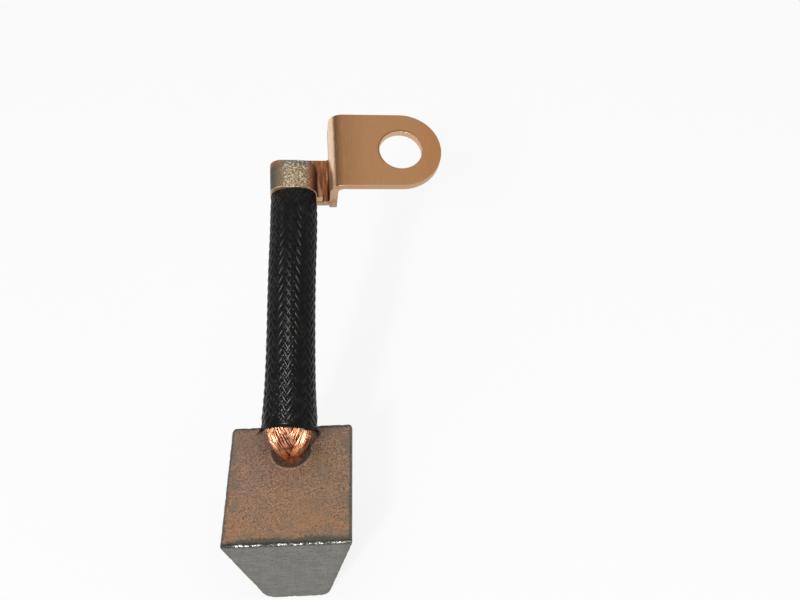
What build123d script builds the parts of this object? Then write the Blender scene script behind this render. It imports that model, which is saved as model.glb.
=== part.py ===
from build123d import *
from math import cos, exp, pi, radians, sin, tan
import os

# Carbon brush of a starter motor, in millimetres, +Z up.
# The wedge-shaped block stands on its narrow face. The origin is the centre of that face.
# The wear face that runs on the commutator looks towards -Y, and the lead leaves the wide
# face near the back, rises backwards and ends in a folded sheet terminal.

# Carbon block
block_length = 17.0
block_height = 14.0
wide_width = 16.0
narrow_width = 8.0
narrow_edge_radius = 1.3
wide_edge_radius = 0.35
back_corner_radius = 0.9

# Tamped connection in the wide face
socket_diameter = 4.8
socket_depth = 8.5
socket_point_angle = 118.0
socket_to_back = 3.85
tamping_recess = 0.25
tamping_dish = 0.3

# Copper shunt, a round braid
shunt_diameter = 5.0
shunt_neck = 3.8
shunt_spread_width = 6.0
shunt_spread_depth = 4.9
shunt_tail = 0.4
shunt_squeeze_length = 1.6
squeeze_margin = 0.3
shunt_section_count = 14

# Route of the lead above the wide face: runs that level off, each turned a little to the right
exit_length = 2.2
exit_radius = 5.0
lower_run_length = 10.8
lower_rise_angle = 52.0
lower_turn_angle = 6.7
middle_run_length = 10.0
middle_rise_angle = 42.0
middle_turn_angle = 3.8
upper_run_length = 7.35
upper_rise_angle = 31.0
upper_turn_angle = 3.8
lead_end_length = 5.45
tangent_share = 0.45

# Attitude of the terminal: rise above level, turn to the left, and roll about the lead's end
terminal_rise_angle = 20.0
terminal_turn_angle = -1.5
terminal_roll_angle = 6.3

# Insulating sleeve over the shunt
sleeve_diameter = 6.0
sleeve_wall = 0.45
sleeve_flare = 1.45
sleeve_flare_length = 5.5
sleeve_start = 3.6
sleeve_section_count = 12

# Terminal, folded from one sheet
sheet = 1.0
eye_width = 3.9
eye_height = 2.9
eye_base_radius = 1.0
eye_west_radius = 0.8
eye_east_radius = 1.3
band_length = 3.9
strip_width = 6.2
strip_step_radius = 0.6
foot_reach = 1.75
foot_gap = 0.1
foot_skew_angle = 9.0
foot_bend_inside = 0.3
leg_offset = 4.6
leg_bend_inside = 0.4
tongue_bend_inside = 0.8
tongue_width = 10.5
tongue_rise = 3.35
tongue_lead = 0.3
hole_diameter = 5.5
hole_reach = 13.7


def heading(rise, turn):
    """Unit vector that rises above level and turns to the right of straight back."""
    level = cos(radians(rise))
    return Vector(level * sin(radians(turn)), level * cos(radians(turn)), sin(radians(rise)))


def section_plane(path, distance):
    """Plane across the path at a distance along it, with its x direction kept sideways."""
    along = path.tangent_at(distance, PositionMode.LENGTH)
    sideways = Vector(1, 0, 0) - along * along.X
    return Plane(path.position_at(distance, PositionMode.LENGTH), x_dir=sideways, z_dir=along)


# Carbon block: a wedge section pressed along Y, with its two back corners rounded
with BuildPart() as carbon_block:
    with BuildSketch(Plane.XZ.offset(-block_length / 2)) as wedge:
        with BuildLine():
            Polyline(
                (-narrow_width / 2, 0),
                (narrow_width / 2, 0),
                (wide_width / 2, block_height),
                (-wide_width / 2, block_height),
                close=True,
            )
        make_face()
        fillet(wedge.vertices().group_by(Axis.Y)[0], narrow_edge_radius)
        fillet(wedge.vertices().group_by(Axis.Y)[-1], wide_edge_radius)
    extrude(amount=block_length)

    # Each back corner is rounded by cutting away what stands outside its arc
    corner_y = block_length / 2 - back_corner_radius
    for side, outward in ((-1, Align.MAX), (1, Align.MIN)):
        for width, level in ((narrow_width, 0), (wide_width, block_height)):
            with BuildSketch(Plane.XY.offset(level)):
                with Locations((side * (width / 2 - back_corner_radius), corner_y)):
                    Rectangle(2 * back_corner_radius, 2 * back_corner_radius, align=(outward, Align.MIN))
                    Circle(back_corner_radius, mode=Mode.SUBTRACT)
        loft(ruled=True, mode=Mode.SUBTRACT)

    # Blind hole with a drill point for the tamped connection
    socket_y = block_length / 2 - socket_to_back
    socket_radius = socket_diameter / 2
    socket_plane = Plane.XZ.offset(-socket_y)
    socket_axis = Axis((0, socket_y, 0), (0, 0, 1))
    socket_floor = block_height - socket_depth
    socket_point = socket_floor - socket_radius / tan(radians(socket_point_angle / 2))
    with BuildSketch(socket_plane):
        with BuildLine():
            Polyline(
                (0, block_height),
                (socket_radius, block_height),
                (socket_radius, socket_floor),
                (0, socket_point),
                close=True,
            )
        make_face()
    revolve(axis=socket_axis, mode=Mode.SUBTRACT)
carbon_block.part.label = "carbon_block"

# Tamping: copper powder rammed round the shunt, a little below the wide face and dished
tamping_rim = block_height - tamping_recess
with BuildPart() as tamping:
    with BuildSketch(socket_plane):
        with BuildLine():
            Polyline(
                (shunt_neck / 2, tamping_rim - tamping_dish),
                (shunt_neck / 2, socket_floor),
                (0, socket_floor),
                (0, socket_point),
                (socket_radius, socket_floor),
                (socket_radius, tamping_rim),
                close=True,
            )
        make_face()
    revolve(axis=socket_axis)
tamping.part.label = "tamping"

# Route of the lead, from the bottom of the socket to the tail behind the terminal
route = [Vector(0, socket_y, socket_floor), Vector(0, socket_y, block_height + exit_length)]
for length, rise, turn in (
    (lower_run_length, lower_rise_angle, lower_turn_angle),
    (middle_run_length, middle_rise_angle, middle_turn_angle),
    (upper_run_length, upper_rise_angle, upper_turn_angle),
):
    route.append(route[-1] + heading(rise, turn) * length)
crimp_direction = heading(terminal_rise_angle, terminal_turn_angle)
crimp_centre = route[-1] + crimp_direction * lead_end_length
route.append(crimp_centre + crimp_direction * (band_length / 2 + shunt_tail))
radii = [exit_radius]
for before, corner, after in zip(route[1:], route[2:], route[3:]):
    half_turn = radians((corner - before).get_angle(after - corner)) / 2
    shorter_run = min((corner - before).length, (after - corner).length)
    radii.append(tangent_share * shorter_run / tan(half_turn))
with BuildLine() as lead_line:
    FilletPolyline(*route, radius=radii)
lead = lead_line.wires()[0]
band_front = lead.length - shunt_tail - band_length

# Frame of the terminal: x to the tongue, y up from the strip, z forward to the block
level_across = crimp_direction.cross(Axis.Z.direction).normalized()
across = level_across.rotate(Axis((0, 0, 0), crimp_direction), terminal_roll_angle)
crimp_plane = Plane(crimp_centre, x_dir=across, z_dir=-crimp_direction)
plan_plane = Plane(crimp_centre, x_dir=across, z_dir=crimp_plane.y_dir)
eye_side = eye_width / 2
eye_bottom = -eye_height / 2
eye_top = eye_height / 2
band_edge = band_length / 2


def sleeve_outside(distance):
    """Outside diameter of the sleeve, which opens towards its lower end."""
    return sleeve_diameter + sleeve_flare * exp((sleeve_from - distance) / sleeve_flare_length)


def shunt_size(distance):
    """Width and depth of the shunt: a neck that spreads at the bend and closes up in the sleeve."""
    if distance < sleeve_from:
        share = (1 - cos(pi * (distance - socket_depth) / sleeve_start)) / 2
        start = shunt_neck
    else:
        share = exp(-(((distance - sleeve_from) / sleeve_flare_length) ** 2))
        start = shunt_diameter
    return start + (shunt_spread_width - start) * share, start + (shunt_spread_depth - start) * share


def stations(start, end, count):
    """Evenly spaced distances along the lead, both ends included."""
    return [start + (end - start) * step / count for step in range(count + 1)]


# Copper shunt: round braid, squeezed to the shape of the eye where the terminal grips it
sleeve_from = socket_depth + sleeve_start
squeeze_from = band_front - shunt_squeeze_length
with BuildPart() as copper_shunt:
    for distance in stations(socket_depth, squeeze_from, shunt_section_count):
        width, depth = shunt_size(distance)
        with BuildSketch(section_plane(lead, distance)):
            Ellipse(width / 2, depth / 2)
    loft()
    for distance, width, depth in (
        (squeeze_from, shunt_diameter, shunt_diameter),
        (band_front, eye_width - squeeze_margin, eye_height - squeeze_margin),
    ):
        with BuildSketch(section_plane(lead, distance)):
            Ellipse(width / 2, depth / 2)
    loft(ruled=True)
    with BuildSketch(section_plane(lead, 0)):
        Circle(shunt_neck / 2)
    extrude(amount=socket_depth)
    with BuildSketch(crimp_plane.offset(-band_edge - shunt_tail)) as eye_outline:
        with BuildLine():
            FilletPolyline(
                (-eye_side, eye_bottom),
                (-eye_side, eye_top),
                (eye_side, eye_top),
                (eye_side, eye_bottom),
                radius=[eye_base_radius, eye_west_radius, eye_east_radius, foot_bend_inside],
                close=True,
            )
        make_face()
    extrude(amount=band_length + shunt_tail)
copper_shunt.part.label = "copper_shunt"

# Insulating sleeve: a braided tube that flares where it was cut
with BuildPart() as insulating_sleeve:
    for distance in stations(sleeve_from, band_front, sleeve_section_count):
        with BuildSketch(section_plane(lead, distance)):
            Circle(sleeve_outside(distance) / 2)
    loft()
    for distance in stations(sleeve_from, band_front, sleeve_section_count):
        with BuildSketch(section_plane(lead, distance)):
            Circle(sleeve_outside(distance) / 2 - sleeve_wall)
    loft(mode=Mode.SUBTRACT)
insulating_sleeve.part.label = "insulating_sleeve"

# Terminal: the sheet's fold is drawn across the shunt, along the face that grips it, from the
# tongue down the leg, under the shunt, round it and back onto the strip
tongue_front = band_edge + tongue_lead
tongue_back = tongue_front - tongue_width
hole_back = tongue_width / 2 - tongue_front
strip_back = strip_width - band_edge
foot_level = eye_bottom + foot_gap
with BuildPart() as terminal:
    with BuildSketch(crimp_plane.offset(tongue_back)):
        with BuildLine():
            fold = FilletPolyline(
                (hole_reach + tongue_width, tongue_rise),
                (leg_offset, tongue_rise),
                (leg_offset, eye_bottom),
                (-eye_side, eye_bottom),
                (-eye_side, eye_top),
                (eye_side, eye_top),
                (eye_side, foot_level),
                (eye_side + foot_reach, foot_level),
                radius=[
                    tongue_bend_inside + sheet,
                    leg_bend_inside,
                    eye_base_radius,
                    eye_west_radius,
                    eye_east_radius,
                    foot_bend_inside + sheet,
                ],
            )
            offset(fold, amount=sheet, side=Side.LEFT, mode=Mode.REPLACE)
        make_face()
    extrude(amount=tongue_width)

    # Cut outline in plan: round tongue with its hole, leg, and the strip that narrows to the band
    with BuildSketch(plan_plane) as outline:
        with Locations((hole_reach, hole_back)):
            Circle(tongue_width / 2)
            Circle(hole_diameter / 2, mode=Mode.SUBTRACT)
        with BuildLine():
            Polyline(
                (leg_offset, -tongue_front),
                (hole_reach, -tongue_front),
                (hole_reach, -tongue_back),
                (leg_offset, -tongue_back),
                close=True,
            )
        make_face()
        with Locations((hole_reach, hole_back)):
            Circle(hole_diameter / 2, mode=Mode.SUBTRACT)
        with BuildLine():
            FilletPolyline(
                (-eye_side - 2 * sheet, -band_edge),
                (leg_offset + sheet / 2, -band_edge),
                (leg_offset + sheet / 2, strip_back),
                (-eye_side + eye_base_radius, strip_back),
                (-eye_side + eye_base_radius, band_edge),
                (-eye_side - 2 * sheet, band_edge),
                radius=[0, 0, 0, strip_step_radius, strip_step_radius, 0],
                close=True,
            )
        make_face()
    extrude(amount=2 * tongue_rise, both=True, mode=Mode.INTERSECT)

    # The wrap is only as wide as the band, and its foot ends at a slant
    with BuildSketch(plan_plane.offset(eye_bottom + foot_gap / 2)):
        with BuildLine():
            foot_end = eye_side + foot_reach
            Polyline(
                (-eye_side - 2 * sheet, band_edge),
                (foot_end - band_length * tan(radians(foot_skew_angle)), band_edge),
                (foot_end, -band_edge),
                (leg_offset, -band_edge),
                (leg_offset, strip_back + sheet),
                (-eye_side - 2 * sheet, strip_back + sheet),
                close=True,
            )
        make_face()
    extrude(amount=eye_height + 2 * sheet, mode=Mode.SUBTRACT)

    # The leg stops above its lower bend where no strip leaves it
    with BuildSketch(plan_plane.offset(eye_bottom + leg_bend_inside)):
        with BuildLine():
            Polyline(
                (leg_offset - sheet, strip_back),
                (leg_offset + 2 * sheet, strip_back),
                (leg_offset + 2 * sheet, tongue_width),
                (leg_offset - sheet, tongue_width),
                close=True,
            )
        make_face()
    extrude(amount=-2 * sheet, mode=Mode.SUBTRACT)

    # In front of the strip the leg's edge stands clear of the bend and runs straight down
    with BuildSketch(plan_plane.offset(eye_bottom - sheet)):
        with BuildLine():
            Polyline(
                (leg_offset, -tongue_front),
                (leg_offset + sheet, -tongue_front),
                (leg_offset + sheet, -band_edge),
                (leg_offset, -band_edge),
                close=True,
            )
        make_face()
    extrude(amount=sheet + 2 * leg_bend_inside)
terminal.part.label = "terminal"

os.makedirs("parts", exist_ok=True)
for piece in (carbon_block, tamping, copper_shunt, insulating_sleeve, terminal):
    export_step(piece.part, f"parts/{piece.part.label}.step")

eye_centre = plan_plane.from_local_coords((hole_reach, hole_back, tongue_rise - sheet / 2))
print("lead outside the block", round(lead.length - socket_depth, 2))
print("terminal eye centre", eye_centre, "axis", plan_plane.z_dir)
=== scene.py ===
"""Carbon brush of a starter motor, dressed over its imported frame.

Sizes in the classes are in millimetres in the frame of the model: the block stands on its narrow
face, its wear face looks towards -Y, and the lead rises backwards to a folded sheet terminal.
"""

import logging
import random
from abc import ABC, abstractmethod
from bisect import bisect_right
from dataclasses import dataclass, field
from enum import Enum, IntEnum
from math import cos, exp, pi, radians, sin, sqrt, tan
from typing import Callable, Iterable, Optional, Union

import bmesh
import bpy
from mathutils import Matrix, Vector, noise

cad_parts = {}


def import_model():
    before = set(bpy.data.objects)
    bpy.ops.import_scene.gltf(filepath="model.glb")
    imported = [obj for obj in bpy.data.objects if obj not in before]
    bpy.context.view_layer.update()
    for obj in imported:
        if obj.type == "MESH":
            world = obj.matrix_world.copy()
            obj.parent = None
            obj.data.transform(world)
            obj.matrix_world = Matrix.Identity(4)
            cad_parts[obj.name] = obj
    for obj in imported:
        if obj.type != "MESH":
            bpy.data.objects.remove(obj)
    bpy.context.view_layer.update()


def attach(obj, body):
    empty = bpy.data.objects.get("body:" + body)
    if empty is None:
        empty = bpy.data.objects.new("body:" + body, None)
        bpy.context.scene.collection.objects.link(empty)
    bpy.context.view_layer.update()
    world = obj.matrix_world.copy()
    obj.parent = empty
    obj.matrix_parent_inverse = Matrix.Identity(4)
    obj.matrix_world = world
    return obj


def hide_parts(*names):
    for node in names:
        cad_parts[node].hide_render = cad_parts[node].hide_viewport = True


Colour = tuple[float, float, float]
Triple = tuple[float, float, float]

LOG = logging.getLogger("carbon_brush")

# One millimetre in Blender's metres
MM = 0.001

# Millimetres added to the way across the flat sheet, so that its map has no value below 0
FLAT_ORIGIN = 3.0

# Points nearer to each other than this many millimetres are one
NEAR = 1e-4


class Node(Enum):
    """Solids of the frame that the dressed pieces stand for, with their material slots."""

    BLOCK = ("carbon_block", "carbon")
    TAMPING = ("tamping", "tamping")
    SHUNT = ("copper_shunt", "braid")
    SLEEVE = ("insulating_sleeve", "sleeve")
    TERMINAL = ("terminal", "terminal")


class Lay(Enum):
    """Direction in which a set of strands winds round the lead."""

    RIGHT = 1
    LEFT = -1


# Shader maths

Operand = Union["Amount", float]


class Amount:
    """A number that varies over a surface, so that Python's operators add Math nodes."""

    def __init__(self, shader: "Shader", socket: bpy.types.NodeSocket) -> None:
        """Wraps an output socket of a shader's tree."""
        self.shader = shader
        self.socket = socket

    def math(self, operation: str, first: Operand, second: Operand = 0.0) -> "Amount":
        """Adds one Math node.

        Args:
            operation: the node's operation.
            first: its first value.
            second: its second value.

        Returns:
            The node's result.
        """
        node = self.shader.node("ShaderNodeMath", {"operation": operation}, {0: first, 1: second})
        return Amount(self.shader, node.outputs[0])

    def __add__(self, other: Operand) -> "Amount":
        """Sum."""
        return self.math("ADD", self, other)

    __radd__ = __add__

    def __sub__(self, other: Operand) -> "Amount":
        """Difference."""
        return self.math("SUBTRACT", self, other)

    def __rsub__(self, other: Operand) -> "Amount":
        """Difference from a number."""
        return self.math("SUBTRACT", other, self)

    def __mul__(self, other: Operand) -> "Amount":
        """Product."""
        return self.math("MULTIPLY", self, other)

    __rmul__ = __mul__

    def __pow__(self, other: Operand) -> "Amount":
        """Power."""
        return self.math("POWER", self, other)

    def size(self) -> "Amount":
        """Absolute value."""
        return self.math("ABSOLUTE", self)

    def most(self, other: Operand) -> "Amount":
        """The larger of the two."""
        return self.math("MAXIMUM", self, other)

    def step(self, low: float, high: float) -> "Amount":
        """Rises smoothly from 0 to 1, or falls where low is the larger.

        Args:
            low: where it leaves 0.
            high: where it reaches 1.

        Returns:
            The smooth step.
        """
        start, end = min(low, high), max(low, high)
        limits = (0.0, 1.0) if low <= high else (1.0, 0.0)
        node = self.shader.node(
            "ShaderNodeMapRange",
            {"interpolation_type": "SMOOTHSTEP"},
            {0: self, 1: start, 2: end, 3: limits[0], 4: limits[1]},
        )
        return Amount(self.shader, node.outputs[0])


class Shader:
    """A material with a Principled shader, built by one method that adds every node."""

    def __init__(self, name: str) -> None:
        """Starts a material that has only its output and its Principled shader.

        Args:
            name: the material's name.
        """
        self.material = bpy.data.materials.new(name)
        self.material.use_nodes = True
        self.tree = self.material.node_tree
        self.surface = self.tree.nodes["Principled BSDF"]

    def node(
        self, kind: str, settings: Optional[dict] = None, sockets: Optional[dict] = None
    ) -> bpy.types.Node:
        """Adds a node.

        Args:
            kind: the node's type.
            settings: its own settings, set first; "stops" holds a ramp's (position, colour) pairs.
            sockets: input name or number to a value, an Amount or a socket to link.

        Returns:
            The node.
        """
        node = self.tree.nodes.new(kind)
        for name, value in (settings or {}).items():
            if name == "stops":
                self._set_stops(node.color_ramp, value)
            else:
                setattr(node, name, value)
        for key, value in (sockets or {}).items():
            self.feed(node.inputs[key], value)
        return node

    def feed(self, socket: bpy.types.NodeSocket, value: object) -> None:
        """Links an Amount or a socket to an input, or sets it to a plain value.

        Args:
            socket: the input.
            value: what it takes; a colour of three values gets an alpha of 1.
        """
        if isinstance(value, Amount):
            value = value.socket
        if isinstance(value, bpy.types.NodeSocket):
            self.tree.links.new(value, socket)
        elif isinstance(value, tuple) and len(value) == 3 and socket.type == "RGBA":
            socket.default_value = (*value, 1.0)
        else:
            socket.default_value = value

    def _set_stops(self, ramp: bpy.types.ColorRamp, stops: list[tuple[float, Colour]]) -> None:
        """Fills a colour ramp.

        Args:
            ramp: the ramp, which has two stops at first.
            stops: pairs of position and colour, in order.
        """
        while len(ramp.elements) < len(stops):
            ramp.elements.new(0.5)
        for element, (position, colour) in zip(ramp.elements, stops):
            element.position = position
            element.color = (*colour, 1.0)

    def place(self) -> bpy.types.NodeSocket:
        """Object coordinates in millimetres."""
        coordinates = self.node("ShaderNodeTexCoord")
        return self.scaled(coordinates.outputs["Object"], (1 / MM, 1 / MM, 1 / MM))

    def scaled(self, vector: bpy.types.NodeSocket, factors: Triple) -> bpy.types.NodeSocket:
        """A vector multiplied by a factor along each axis."""
        sockets = {0: vector, 1: factors}
        return self.node("ShaderNodeVectorMath", {"operation": "MULTIPLY"}, sockets).outputs[0]

    def parts(self, vector: bpy.types.NodeSocket) -> tuple[Amount, Amount, Amount]:
        """The three components of a vector."""
        split = self.node("ShaderNodeSeparateXYZ", {}, {0: vector})
        return tuple(Amount(self, split.outputs[axis]) for axis in range(3))

    def facing(self) -> tuple[Amount, Amount, Amount]:
        """The three components of the surface's normal in the object's own axes."""
        return self.parts(self.node("ShaderNodeTexCoord").outputs["Normal"])

    def attribute(self, name: str) -> Amount:
        """A number stored on the mesh."""
        return Amount(self, self.node("ShaderNodeAttribute", {"attribute_name": name}).outputs["Fac"])

    def noise(self, vector: bpy.types.NodeSocket, scale: float, detail: float, rough: float) -> Amount:
        """Soft noise, mostly between 0.3 and 0.7, with features 1/scale across."""
        sockets = {"Vector": vector, "Scale": scale, "Detail": detail, "Roughness": rough}
        return Amount(self, self.node("ShaderNodeTexNoise", {}, sockets).outputs[0])

    def cells(self, vector: bpy.types.NodeSocket, scale: float) -> Amount:
        """Distance to the nearest of scattered points, 1/scale apart."""
        node = self.node("ShaderNodeTexVoronoi", {}, {"Vector": vector, "Scale": scale})
        return Amount(self, node.outputs[0])

    def ramp(self, amount: Amount, stops: list[tuple[float, Colour]]) -> bpy.types.NodeSocket:
        """Colour from a number, by stops of position and colour."""
        return self.node("ShaderNodeValToRGB", {"stops": stops}, {0: amount}).outputs[0]

    def mix(self, first: object, second: object, share: Operand) -> bpy.types.NodeSocket:
        """A colour between two colours, by the second one's share."""
        sockets = {0: share, 6: first, 7: second}
        return self.node("ShaderNodeMix", {"data_type": "RGBA"}, sockets).outputs[2]

    def over(self, base: object, *tints: tuple[object, Operand]) -> bpy.types.NodeSocket:
        """Lays tints over a colour, one after the other.

        Args:
            base: the colour beneath.
            tints: pairs of a colour and its share.

        Returns:
            The colour.
        """
        for tint, share in tints:
            base = self.mix(base, tint, share)
        return base

    def bump(self, height: Amount, distance: float, strength: float) -> None:
        """Feeds the Normal socket from a height.

        Args:
            height: the height, between 0 and 1.
            distance: what a height of 1 stands for, in millimetres.
            strength: the share of the bump that shows.
        """
        sockets = {"Height": height, "Distance": distance * MM, "Strength": strength}
        node = self.node("ShaderNodeBump", {}, sockets)
        self.feed(self.surface.inputs["Normal"], node.outputs[0])

    def finish(self, **sockets: object) -> bpy.types.Material:
        """Feeds the Principled shader's own sockets.

        Args:
            sockets: their values, named with underscores for spaces.

        Returns:
            The material.
        """
        for name, value in sockets.items():
            self.feed(self.surface.inputs[name.replace("_", " ")], value)
        return self.material


# Finishes


class BlockSurface:
    """Masks and noises over the pressed block, shared by the colours of its faces."""

    def __init__(self, shader: Shader) -> None:
        """Reads the place, the faces and the grain of the block's surface.

        Args:
            shader: the material.
        """
        self.place = shader.place()
        self.x, self.y, self.z = shader.parts(self.place)
        _, normal_y, normal_z = shader.facing()
        self.wide = normal_z.step(0.55, 0.92)
        self.wear = (normal_y * -1.0).step(0.55, 0.92)
        self.edge = shader.attribute("edge_distance")
        self.grain = shader.noise(self.place, 3.3, 5.0, 0.8)
        self.fine = shader.noise(self.place, 6.2, 3.0, 0.7)
        self.patch = shader.noise(self.place, 0.24, 2.0, 0.5)
        self.drift = shader.noise(self.place, 0.6, 3.0, 0.6)
        self.mottle = self.grain * 0.5 + self.fine * 0.5


@dataclass(frozen=True)
class PressedCarbon:
    """Sintered copper and graphite: brown on the wide face, grey on the wear face and the sides."""

    length: float
    height: float
    foot_half_width: float
    slope: float
    socket_y: float
    socket_radius: float
    speck: Colour = (0.085, 0.068, 0.055)
    umber: Colour = (0.178, 0.114, 0.076)
    brown: Colour = (0.290, 0.166, 0.101)
    tan: Colour = (0.375, 0.226, 0.140)
    pale: Colour = (0.440, 0.300, 0.205)
    pink: Colour = (0.330, 0.200, 0.155)
    ochre: Colour = (0.300, 0.190, 0.098)
    orange: Colour = (0.400, 0.200, 0.098)
    smudge: Colour = (0.165, 0.140, 0.105)
    grey: Colour = (0.205, 0.198, 0.173)
    grey_line: Colour = (0.150, 0.146, 0.130)
    grey_pale: Colour = (0.290, 0.270, 0.240)
    grey_grain: Colour = (0.120, 0.118, 0.106)
    grey_warm: Colour = (0.255, 0.215, 0.185)
    grey_dark: Colour = (0.120, 0.114, 0.104)
    pore: Colour = (0.045, 0.042, 0.038)
    burnish: Colour = (0.230, 0.215, 0.190)
    rim: Colour = (0.048, 0.050, 0.042)
    edge_green: Colour = (0.070, 0.074, 0.060)
    copper_line: Colour = (0.360, 0.170, 0.075)
    pepper: Colour = (0.075, 0.055, 0.043)
    soot: Colour = (0.060, 0.056, 0.046)
    broken_rim: Colour = (0.400, 0.330, 0.270)
    seam: Colour = (0.040, 0.032, 0.026)
    chip_shade: Colour = (0.020, 0.019, 0.016)
    glint: Colour = (0.400, 0.385, 0.345)

    def brown_face(self, shader: Shader, on: BlockSurface) -> bpy.types.NodeSocket:
        """Colour of the wide face: mottled brown, pinker on the west and rusty towards the front.

        Args:
            shader: the material.
            on: the block's surface.

        Returns:
            The colour.
        """
        stops = [
            (0.39, self.speck),
            (0.45, self.umber),
            (0.50, self.brown),
            (0.54, self.tan),
            (0.60, self.pale),
        ]
        pink = (on.y + on.patch * 12.0 - 6.0).step(-3.0, 5.0) * (on.x + on.drift * 6.0 - 3.0).step(3.0, -3.0)
        ochre = on.patch.step(0.46, 0.58) * on.x.step(-3.0, 4.0)
        rust = (on.y * -1.0 + on.patch * 8.0 - 4.0).step(0.5, 8.6) * (1.0 - on.drift.step(0.42, 0.64) * 0.5)
        cool = on.drift.step(0.46, 0.66) * 0.32 + on.edge.step(2.2, 0.4) * on.drift.step(0.38, 0.60) * 0.4
        return shader.over(
            shader.ramp(on.mottle, stops),
            (self.pink, pink * on.mottle.step(0.42, 0.56) * 0.5),
            (self.ochre, ochre * on.mottle.step(0.38, 0.50) * 0.6),
            (self.orange, rust * on.mottle.step(0.40, 0.54) * 0.85),
            (self.smudge, cool),
        )

    def grey_face(self, shader: Shader, on: BlockSurface, lines: Amount) -> bpy.types.NodeSocket:
        """Colour of the wear face: grey with fine lines across it, faint patches and pores.

        Args:
            shader: the material.
            on: the block's surface.
            lines: noise drawn out along the face's width.

        Returns:
            The colour.
        """
        pores = shader.cells(shader.scaled(on.place, (0.7, 1.0, 1.5)), 1.5).step(0.28, 0.14)
        return shader.over(
            self.grey,
            (self.grey_line, lines.step(0.42, 0.60)),
            (self.grey_pale, on.grain.step(0.48, 0.60) * 0.5),
            (self.grey_grain, on.grain.step(0.47, 0.38) * 0.5),
            (self.grey_line, on.drift.step(0.48, 0.60) * 0.55),
            (self.grey_warm, on.drift.step(0.46, 0.34) * 0.25),
            (self.pore, pores * on.fine.step(0.44, 0.54) * 0.85 * on.z.step(2.0, 12.0).most(0.4)),
        )

    def edges(
        self, shader: Shader, on: BlockSurface, colour: object, front_band: Amount
    ) -> bpy.types.NodeSocket:
        """Lays the dark rim, the greenish front band and the copper line of the slanted sides over a colour.

        Args:
            shader: the material.
            on: the block's surface.
            colour: the colour beneath.
            front_band: mask of the band along the wide face's front.

        Returns:
            The colour.
        """
        rim = (on.edge + (on.grain - 0.5) * 0.9).step(0.62, 0.22)
        slant = (on.x.size() - (on.z * self.slope + self.foot_half_width) + 0.30).step(0.05, 0.24)
        slant = slant * on.wear * on.fine.step(0.40, 0.52)
        return shader.over(
            colour,
            (self.rim, rim * 0.92 * on.wide.most(on.wear * 0.25)),
            (self.edge_green, front_band * 0.88),
            (self.copper_line, slant * (0.75 - on.x.step(0.0, 3.0) * 0.45)),
        )

    def round_socket(self, shader: Shader, on: BlockSurface, colour: object) -> bpy.types.NodeSocket:
        """Lays pepper, soot, the socket's broken rim and its seam over a colour.

        Args:
            shader: the material.
            on: the block's surface.
            colour: the colour beneath.

        Returns:
            The colour.
        """
        behind = on.y - self.socket_y
        radius = (on.x * on.x + behind * behind) ** 0.5
        rim = radius - self.socket_radius
        pepper = (radius + (on.drift - 0.5) * 5.0).step(7.0, 3.0) * on.fine.step(0.49, 0.43)
        smear = (radius + (on.drift - 0.5) * 3.2).step(4.6, 2.9)
        smear = smear * (0.12 + (behind + 0.5).step(-1.5, 1.0) * 0.5)
        broken = rim.step(0.55, 0.35) * behind.step(0.0, -1.2) * on.grain.step(0.42, 0.56)
        return shader.over(
            colour,
            (self.pepper, pepper * on.wide * 0.7),
            (self.soot, smear * on.wide * on.mottle.step(0.58, 0.44)),
            (self.broken_rim, broken * on.wide * 0.5),
            (self.seam, (rim - 0.05).size().step(0.16, 0.06) * on.wide * 0.8),
        )

    def material(self) -> bpy.types.Material:
        """Builds the finish, with a broken, glinting arris between the wide face and the wear face.

        Returns:
            The material.
        """
        shader = Shader("pressed_carbon")
        on = BlockSurface(shader)
        lines = shader.noise(shader.scaled(on.place, (0.22, 1.0, 9.0)), 1.0, 3.0, 0.7)
        ragged = shader.noise(shader.scaled(on.place, (0.55, 2.0, 2.0)), 1.6, 3.0, 0.65)
        depth = on.y + self.length / 2
        drop = self.height - on.z
        arris = (depth * depth + drop * drop) ** 0.5
        front_band = (depth + (on.grain - 0.5) * 1.7 + (on.patch - 0.5) * 1.2).step(1.15, 0.65)
        front_band = front_band * (1.0 - on.wear)

        side = shader.mix(self.grey_dark, self.grey_face(shader, on, lines), 0.4 + on.wear * 0.6)
        worn = on.edge.step(0.55, 0.12) * on.grain.step(0.42, 0.54) * (1.0 - on.wear) * (1.0 - on.wide)
        side = shader.mix(side, self.burnish, worn * 0.7)
        colour = shader.mix(side, self.brown_face(shader, on), on.wide)
        colour = self.edges(shader, on, colour, front_band)
        colour = self.round_socket(shader, on, colour)

        # Painted shade: a dark ragged line in the chips on either side of the arris.
        chip_shade = arris.step(0.50, 0.30) * ragged.step(0.36, 0.46)
        glint = (arris + (on.fine - 0.5) * 0.6).step(0.30, 0.16) * (ragged + on.x * 0.006).step(0.47, 0.53)
        glint = glint * on.grain.step(0.42, 0.54)
        colour = shader.over(colour, (self.chip_shade, chip_shade * 0.85), (self.glint, glint))
        height = on.grain * 0.5 + on.fine * 0.35 + lines * on.wear * 0.25
        shader.bump(height + ragged * arris.step(0.6, 0.1) * 1.5, 0.08, 0.8)
        return shader.finish(
            Base_Color=colour,
            Metallic=glint * 0.8 + 0.10,
            Roughness=0.62 - glint * 0.22 - front_band * 0.14,
            Specular_IOR_Level=0.2,
        )


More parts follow.
